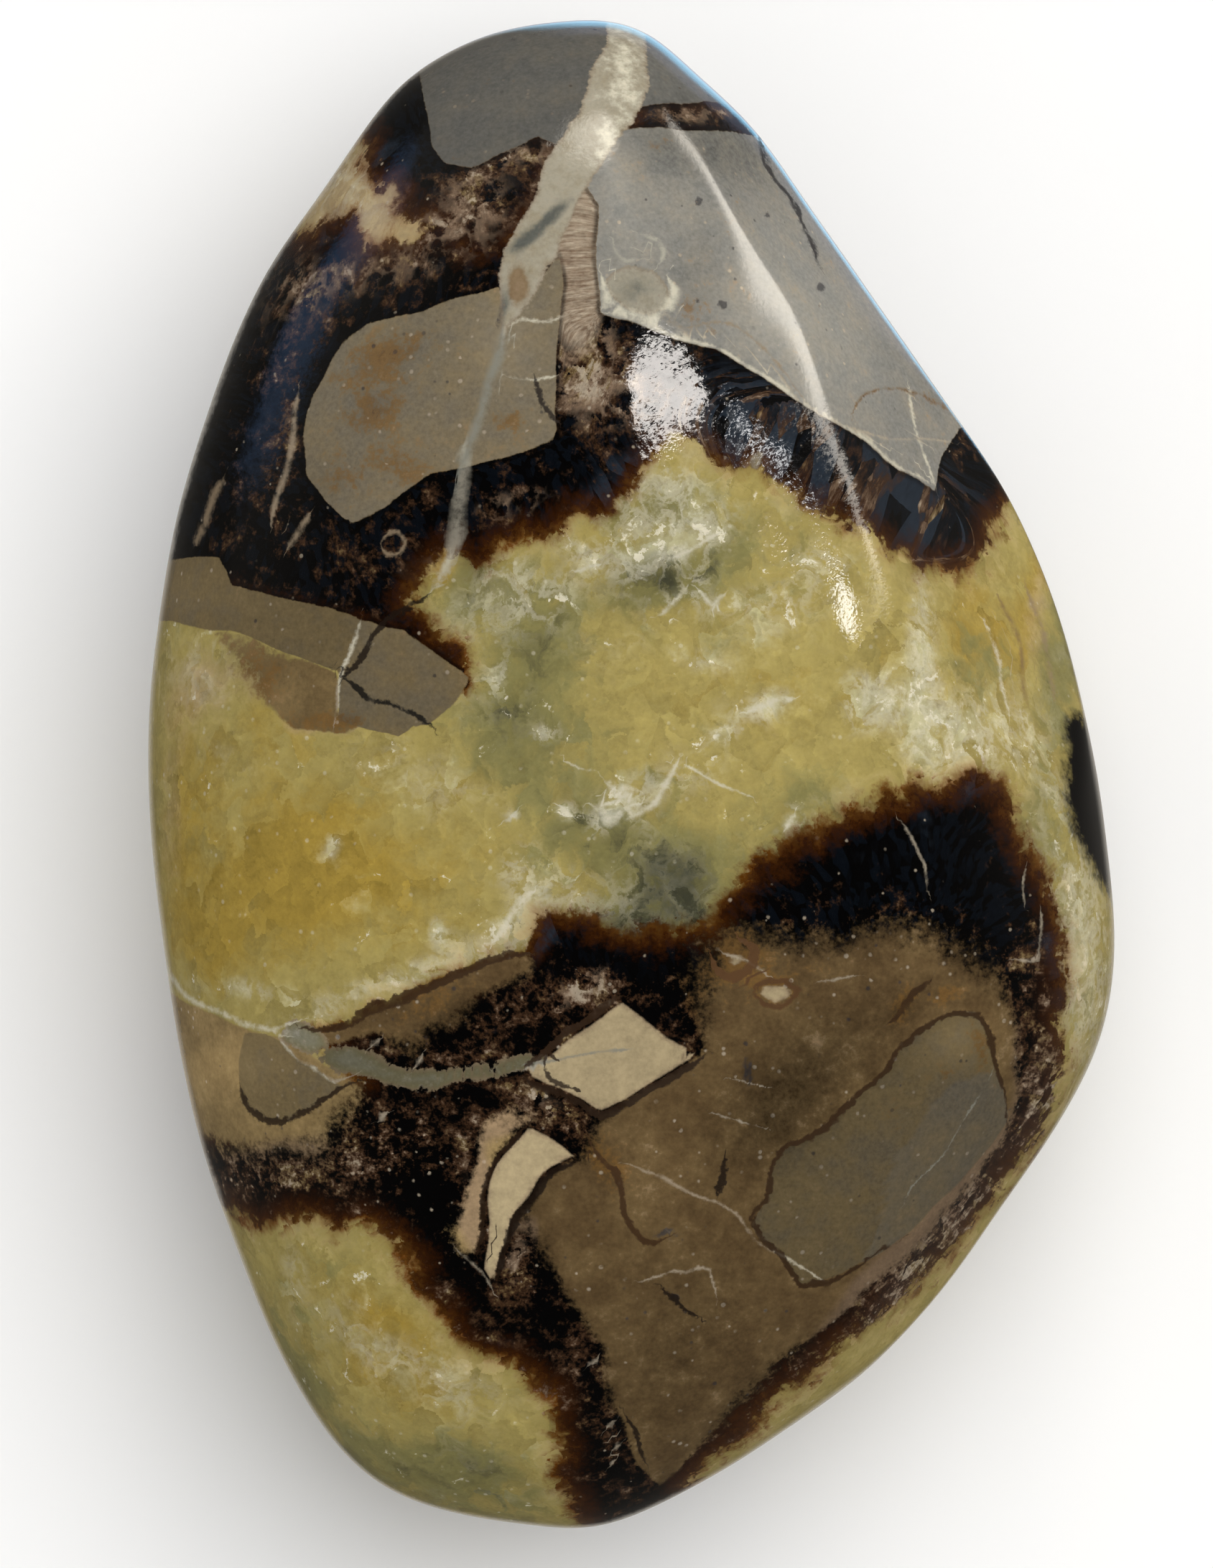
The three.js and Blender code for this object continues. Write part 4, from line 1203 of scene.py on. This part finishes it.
def stone_material(c):
    """Everything that shows on the polished stone, from the rows that the net carries.

    From the bottom up it is calcite, lining, black crystal, rock, cream vein, and the cracks.
    """
    material, g = new_material("polished_septarian")
    grey = g.carried("grey")
    brown = g.carried("brown")
    cream = g.carried("cream")
    standing, spot_depth, painted_shade_and_tone = g.carried("extra")
    root_x, root_y, inside = g.carried("root")
    tint = g.carried("tint")
    look = g.carried("look")
    fray = look[2]
    t = stone_texture(g)

    stretched = inside * 0.14 + t.fine * 0.12
    level = g.node("ShaderNodeCombineXYZ", None, {0: root_x, 1: root_y, 2: stretched})
    along = g.vectors("MULTIPLY", level, (1, 1, 1.3))
    streak = 1 / 4.5  # width of the streaks along the crystals, in the plan's millimetres
    hair = g.noise(streak, 3.0, 0.6, level)
    ragged = g.vectors("ADD", g.shade((1.1, 0.8, 0.9), t.fine), g.shade((0.6, -0.5, 0.6), t.grit))
    bent = g.vectors("ADD", g.carried_vector("bent"), g.shade(ragged, MM))
    large = clumps(g, 3.1 * MM, bent)
    small = clumps(g, 1.2 * MM, bent)
    reach = inside + hair * 0.6 + t.fine * 1.8 + t.mottle * 1.3 + small.slope * 0.7
    lining_mask = g.step(reach, -0.1, 0.35)
    lining, facing = lining_colour(g, c, t, along, hair, inside, look, tint, standing, small)
    calcite = calcite_colour(g, c, t, tint, reach, look, large, small, bent)
    colour = g.mix(lining_mask, calcite, lining)
    colour = g.mix(g.step(spot_depth + t.fine * 2, -0.7, 0.5), colour, c.lining)

    scatter = t.grit * (0.2 + fray * 3.5) + t.fine * (0.5 + fray * 5.5)
    soft = fray * 1.5 + 0.1
    brown_mask = g.step(brown[0] + scatter - fray * 0.4, soft * -1, soft)
    grey_edge = grey[0] + t.fine * 0.25 + t.grit * 0.12
    grey_mask = g.step(grey_edge, -0.05, 0.07)
    rock_mask = brown_mask.above(grey_mask)
    outline = g.step(grey_edge, -0.4, -0.1) * lining_mask.above(brown_mask * 0.5)
    colour = g.mix(outline * g.step(t.mottle, -0.3, 0.1) * 0.7, colour, c.lining)
    colour = g.mix(rock_mask, colour, rock_colour(g, c, t, grey, brown, grey_mask, look, tint[2], painted_shade_and_tone))

    cream_edge = cream[0] + t.fine * (0.15 + cream[1] * 1.2) + t.grit * (0.1 + cream[1] * 0.5)
    cream_mask = g.step(cream_edge, -0.06, 0.12)
    colour = g.mix(cream_mask, colour, cream_colour(g, c, t, cream, tint))
    colour = pale_cracks(g, c, t, colour, lining_mask.above(brown_mask), grey_mask)
    colour, dark_mask = dark_cracks(g, c, t, colour)

    crystals = lining_mask * (1 - rock_mask) * (1 - cream_mask)
    rough_crystals = crystals * (t.third * 0.06 + 0.01)
    roughness = 0.03 + rock_mask.above(cream_mask) * 0.07 + rough_crystals + dark_mask * 0.3
    solid_mask = lining_mask.above(rock_mask).above(cream_mask)
    surface = polish(g, t, colour, roughness, crystals, facing, ragged, solid_mask)
    g.node("ShaderNodeOutputMaterial", None, {"Surface": surface})
    return material


# ---- settings a user would change ---------------------------------------------------------


def colour_property(name, value, description):
    """A colour with its default, in linear light."""
    return FloatVectorProperty(
        name=name, description=description, default=value, subtype="COLOR", size=3, min=0, max=1
    )


def length_property(name, value, description):
    """A length with its default, in metres."""
    return FloatProperty(name=name, description=description, default=value, unit="LENGTH")


def number_property(name, value, description):
    """A plain number with its default."""
    return FloatProperty(name=name, description=description, default=value)


class StoneSizes(bpy.types.PropertyGroup):
    """Sizes of the stone and of its net."""

    crown: length_property("Crown", 0.022, "Girdle to the top of the show face")
    back: length_property("Back", 0.02025, "Girdle to the unground back")
    flat: length_property("Flat", 0.00025, "What the flat takes off the back")
    fullness: number_property("Fullness", 2.3, "2 is an ellipse in section, more is squarer")
    edge: number_property("Edge", 200.0, "How tightly a flank meets the dome")
    swell: length_property("Swell", 0.00007, "Height of the unevenness left by hand polishing")
    net_rows: IntProperty(
        name="Net rows", description="Rows of faces across each half", default=223, min=8, max=223
    )


class StoneColours(bpy.types.PropertyGroup):
    """Colours of what shows on the stone."""

    calcite: colour_property("Calcite", (0.36, 0.29, 0.095), "Most of the clear calcite")
    honey: colour_property("Honey", (0.34, 0.235, 0.045), "Deeper calcite")
    olive: colour_property("Olive", (0.19, 0.175, 0.068), "Grey-green calcite")
    smoke: colour_property("Smoke", (0.03, 0.033, 0.024), "Darkest clear calcite")
    cloud: colour_property("Cloud", (0.47, 0.44, 0.27), "Milky calcite")
    white: colour_property("White", (0.62, 0.58, 0.45), "Flecks on cleavage planes")
    halo: colour_property("Halo", (0.45, 0.35, 0.17), "Calcite next to the lining")
    tan_calcite: colour_property("Tan calcite", (0.42, 0.31, 0.18), "Calcite stained by iron")
    lining: colour_property("Lining", (0.0008, 0.0007, 0.0008), "Darkest crystals")
    # Partly painted sheen of blue sky on the dark crystals.
    blue_black_and_sky_sheen: colour_property("Blue-black crystals", (0.0018, 0.0028, 0.0046), "Clear dark crystals")
    lining_brown: colour_property("Brown crystals", (0.04, 0.019, 0.009), "Thinner crystals")
    lining_pale: colour_property("Pale crystals", (0.19, 0.13, 0.085), "Pinkish-brown fibres")
    # Partly painted sheen on the upright crystals under the large grey block.
    steel_sheen: colour_property("Steel crystals", (0.014, 0.02, 0.029), "Clear crystals between pale ones")
    amber: colour_property("Amber", (0.09, 0.036, 0.006), "Tips of the crystals")
    red_brown: colour_property("Red-brown", (0.034, 0.009, 0.001), "Next to the tips")
    crumbs: colour_property("Crumbs", (0.36, 0.3, 0.22), "Pale crumbs and specks")
    pit: colour_property("Pits", (0.035, 0.033, 0.035), "Dark pits and spots in the rock")
    grey: colour_property("Grey", (0.198, 0.193, 0.173), "Cool grey rock")
    warm_grey: colour_property("Warm grey", (0.17, 0.125, 0.06), "Warm grey rock")
    brown: colour_property("Brown", (0.1, 0.062, 0.026), "Brown rock")
    tan: colour_property("Tan", (0.2, 0.14, 0.06), "Tan rock")
    rust: colour_property("Rust", (0.15, 0.077, 0.02), "Iron stains")
    cream: colour_property("Cream", (0.34, 0.27, 0.155), "Cream fragments")
    vein_grey: colour_property("Grey vein", (0.31, 0.285, 0.22), "The main vein")
    vein_green: colour_property("Green vein", (0.12, 0.105, 0.055), "Grey-green vein")
    vein_blue: colour_property("Blue-grey vein", (0.17, 0.175, 0.15), "Thin blue-grey veins")


class StageSettings(bpy.types.PropertyGroup):
    """The studio round the stone."""

    floor: colour_property("Floor", (0.95, 0.95, 0.95), "The surface that the stone lies on")
    backdrop: colour_property("Backdrop", (0.93, 0.93, 0.92), "The wall behind everything")
    camera_height: length_property("Camera height", 1.2, "Over the ground")
    view_height: length_property("View height", 0.1092, "How much the frame takes in at the girdle")
    key: number_property("Key light", 1.9, "Soft light from over the right shoulder")
    fill: number_property("Fill light", 1.5, "Softer light from above")
    window: number_property("Windows", 17.0, "Brightness of the windows that the polish mirrors")


# ---- making the pieces --------------------------------------------------------------------


def mesh_object(name, points, faces):
    """A smooth mesh object from arrays of corners and of four-sided faces."""
    mesh = bpy.data.meshes.new(name)
    mesh.vertices.add(len(points))
    mesh.vertices.foreach_set("co", points.ravel())
    mesh.loops.add(faces.size)
    mesh.loops.foreach_set("vertex_index", faces.ravel().astype(np.int32))
    mesh.polygons.add(len(faces))
    mesh.polygons.foreach_set("loop_start", np.arange(0, faces.size, 4, dtype=np.int32))
    mesh.update(calc_edges=True)
    mesh.validate()
    mesh.shade_smooth()
    made = bpy.data.objects.new(name, mesh)
    bpy.context.scene.collection.objects.link(made)
    return made


class NODULE_OT_stone(bpy.types.Operator):
    """Make the polished stone"""

    bl_idname = "nodule.stone"
    bl_label = "Stone"

    def execute(self, context):
        sizes = context.scene.nodule_sizes
        corners, faces = stone_net(sizes)
        stone = mesh_object("polished_stone", corners * MM, faces)
        for name, rows in lay_out_pattern(corners, sizes).items():
            layer = stone.data.attributes.new(name, "FLOAT_VECTOR", "POINT")
            layer.data.foreach_set("vector", rows.ravel())
        stone.data.materials.append(stone_material(context.scene.nodule_colours))
        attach(stone, "root")
        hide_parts("nodule")
        return {"FINISHED"}


CAMERA_PLACE = (-0.001725, -0.0007)  # over the middle of the frame


class NODULE_OT_camera(bpy.types.Operator):
    """Make the camera, which looks straight down on the show face"""

    bl_idname = "nodule.camera"
    bl_label = "Camera"

    def execute(self, context):
        stage = context.scene.nodule_stage
        sizes = context.scene.nodule_sizes
        over_girdle = stage.camera_height - girdle_height(sizes) * MM
        data = bpy.data.cameras.new("camera")
        data.sensor_width = 36
        data.lens = data.sensor_width * over_girdle / stage.view_height
        camera = bpy.data.objects.new("camera", data)
        camera.location = (*CAMERA_PLACE, stage.camera_height)
        context.scene.collection.objects.link(camera)
        context.scene.camera = camera
        return {"FINISHED"}


def light_object(name, kind, place, tint, **settings):
    """A light at a place, which shines straight down until it is turned."""
    data = bpy.data.lights.new(name, kind)
    data.color = tint
    for setting, value in settings.items():
        setattr(data, setting, value)
    light = bpy.data.objects.new(name, data)
    light.location = place
    bpy.context.scene.collection.objects.link(light)
    return light


def soft_sun(name, towards, spread, strength):
    """Even light from one side of the sky, which the polish doesn't mirror."""
    sun = light_object(name, "SUN", (0, 0, 1), WHITE, angle=np.radians(spread), energy=strength)
    sun.rotation_mode = "QUATERNION"
    sun.rotation_quaternion = Vector(towards).to_track_quat("Z", "Y")
    sun.visible_glossy = False


def ceiling_window(name, spot, width, length, turn, brightness, tint=WHITE):
    """A bright panel, a metre up, whose mirror image falls where the polish faces half-way to it."""
    shape = {"shape": "RECTANGLE", "size": width, "size_y": length}
    watts = brightness * np.pi * width * length
    panel = light_object(name, "AREA", (*spot, 1.0), tint, **shape, energy=watts)
    panel.rotation_euler = (0, 0, np.radians(turn))
    panel.visible_diffuse = False


def studio_world():
    """What the polish mirrors: dim all round, with a low strip and patches of sky.

    x, y and z are the way that is looked in. A patch is bright where that lies near its middle.
    """
    world = bpy.data.worlds.new("studio")
    world.use_nodes = True
    g = Graph(world.node_tree, "Generated")
    x, y, z = g.parts(g.place)

    def patch(towards, low, high):
        return g.step(g.vectors("DOT_PRODUCT", g.place, towards, "Value"), low, high)

    # The walls are brighter low down and to +Y, and the ground brightest right under the stone.
    glow = 0.02 + g.step(z, 0.9, 0.1) * (0.04 + 0.16 * g.step(y, -0.3, 0.8))
    ground = g.step(z, 0.0, -0.3)
    glow = glow * (1 - ground) + (0.07 + 0.04 * g.step(x + y, -0.1, 0.4)) * ground
    glow = glow + g.step(z, -0.9, -0.99) * 0.35

    # A low strip on the right, lower towards +Y, and a small glint over +Y.
    across = x * -0.6 + y * 0.8
    tapered = z + across * 4.3 - across.above(0) * 3.1
    strip = g.step(tapered, 0.3, 0.08) * g.step(z, -0.2, -0.1)
    strip = strip * g.step(across, 0.3, 0.16) * g.step(across, -0.13, -0.07) * g.step(x, 0, 0.1)
    glint = patch((0.04, 0.9, 0.43), 0.988, 0.996)
    light = g.shade((1.0, 0.93, 0.82), glow + strip * 8 + glint * 6)

    # Blue light from under the upper right edge, and a blue patch on the left, near the horizon.
    upper_right = g.step(y - x * 0.58, 0.0, 0.05) * g.step(x, -0.1, 0.0)
    light = g.vectors("ADD", light, g.shade((0.22, 0.26, 0.38), g.step(z, -0.63, -0.7) * upper_right))
    rim = g.step(z, -0.8, -0.88) * g.step(z, -0.99, -0.95) * upper_right
    light = g.vectors("ADD", light, g.shade((0.3, 0.9, 1.3), rim))
    light = g.vectors("ADD", light, g.shade((0.15, 0.3, 0.6), patch((-0.84, 0.53, -0.1), 0.95, 0.995)))
    shine = g.node("ShaderNodeBackground", None, {"Color": light})
    g.node("ShaderNodeOutputWorld", None, {"Surface": shine})
    return world


def pale_floor(tone):
    """A wide, matt floor, a little uneven in tone."""
    half_width = 20.0
    corners = np.array([(-1, -1, 0), (1, -1, 0), (1, 1, 0), (-1, 1, 0)]) * half_width
    floor = mesh_object("floor", corners, np.array([[0, 1, 2, 3]]))
    paint, g = new_material("floor")
    tone = g.mix(g.noise(60 * MM) + 0.5, tuple(tone), [0.98 * part for part in tone])
    matt = {"Base Color": tone, "Roughness": 0.9, "Specular IOR Level": 0.2}
    g.node("ShaderNodeOutputMaterial", None, {"Surface": g.node("ShaderNodeBsdfPrincipled", None, matt)})
    floor.data.materials.append(paint)
    floor.visible_glossy = False
    return floor


def pale_backdrop(tone):
    """A tall, pale round wall behind everything, which only the camera sees.

    Its corners lie evenly on two circles: radius times the cosine and the sine of each angle.
    """
    radius, height, sides = 2.8, 3.0, 48
    angle = np.arange(sides) * FULL_TURN / sides
    ring = columns(radius * np.cos(angle), radius * np.sin(angle), 0)
    here = np.arange(sides)
    after = (here + 1) % sides
    faces = columns(here, here + sides, after + sides, after)
    wall = mesh_object("backdrop", np.concatenate([ring, ring + [0, 0, height]]), faces)
    paint, g = new_material("backdrop")
    shine = g.node("ShaderNodeEmission", None, {"Color": tuple(tone)})
    g.node("ShaderNodeOutputMaterial", None, {"Surface": shine})
    paint.cycles.emission_sampling = "NONE"
    wall.data.materials.append(paint)
    wall.visible_diffuse = False
    wall.visible_glossy = False
    wall.visible_shadow = False
    return wall


class NODULE_OT_stage(bpy.types.Operator):
    """Make the pale floor and backdrop, the soft light and the windows"""

    bl_idname = "nodule.stage"
    bl_label = "Stage"

    def execute(self, context):
        scene = context.scene
        stage = scene.nodule_stage
        scene.view_settings.view_transform = "Standard"
        scene.world = studio_world()
        soft_sun("key light", (0.3, 0.4, 1.0), 60, stage.key)
        soft_sun("fill light", (-0.1, -0.1, 1.0), 130, stage.fill)
        ceiling_window("window", (0.45, 0.52), 0.46, 0.13, 27, stage.window, (1, 0.95, 0.9))
        ceiling_window("small window", (0.87, 0.53), 0.068, 0.22, -36, stage.window)
        pale_floor(stage.floor)
        pale_backdrop(stage.backdrop)
        return {"FINISHED"}


class NODULE_PT_panel(bpy.types.Panel):
    """Lists the steps that make the nodule and its studio"""

    bl_label = "Septarian nodule"
    bl_idname = "NODULE_PT_panel"
    bl_space_type = "VIEW_3D"
    bl_region_type = "UI"
    bl_category = "Nodule"

    def draw(self, context):
        for step in STEPS:
            self.layout.operator(step.bl_idname)


GROUPS = {"nodule_sizes": StoneSizes, "nodule_colours": StoneColours, "nodule_stage": StageSettings}
STEPS = [NODULE_OT_camera, NODULE_OT_stone, NODULE_OT_stage]
CLASSES = [*GROUPS.values(), *STEPS, NODULE_PT_panel]


def register():
    """Adds the settings, the steps and the panel."""
    for shown in CLASSES:
        bpy.utils.register_class(shown)
    for name, group in GROUPS.items():
        setattr(bpy.types.Scene, name, PointerProperty(type=group))


def unregister():
    """Takes them away again."""
    for name in GROUPS:
        delattr(bpy.types.Scene, name)
    for shown in reversed(CLASSES):
        bpy.utils.unregister_class(shown)


def main():
    """Makes everything."""
    register()
    bpy.ops.nodule.camera()
    bpy.ops.nodule.stone()
    bpy.ops.nodule.stage()


if __name__ == "__main__":
    main()
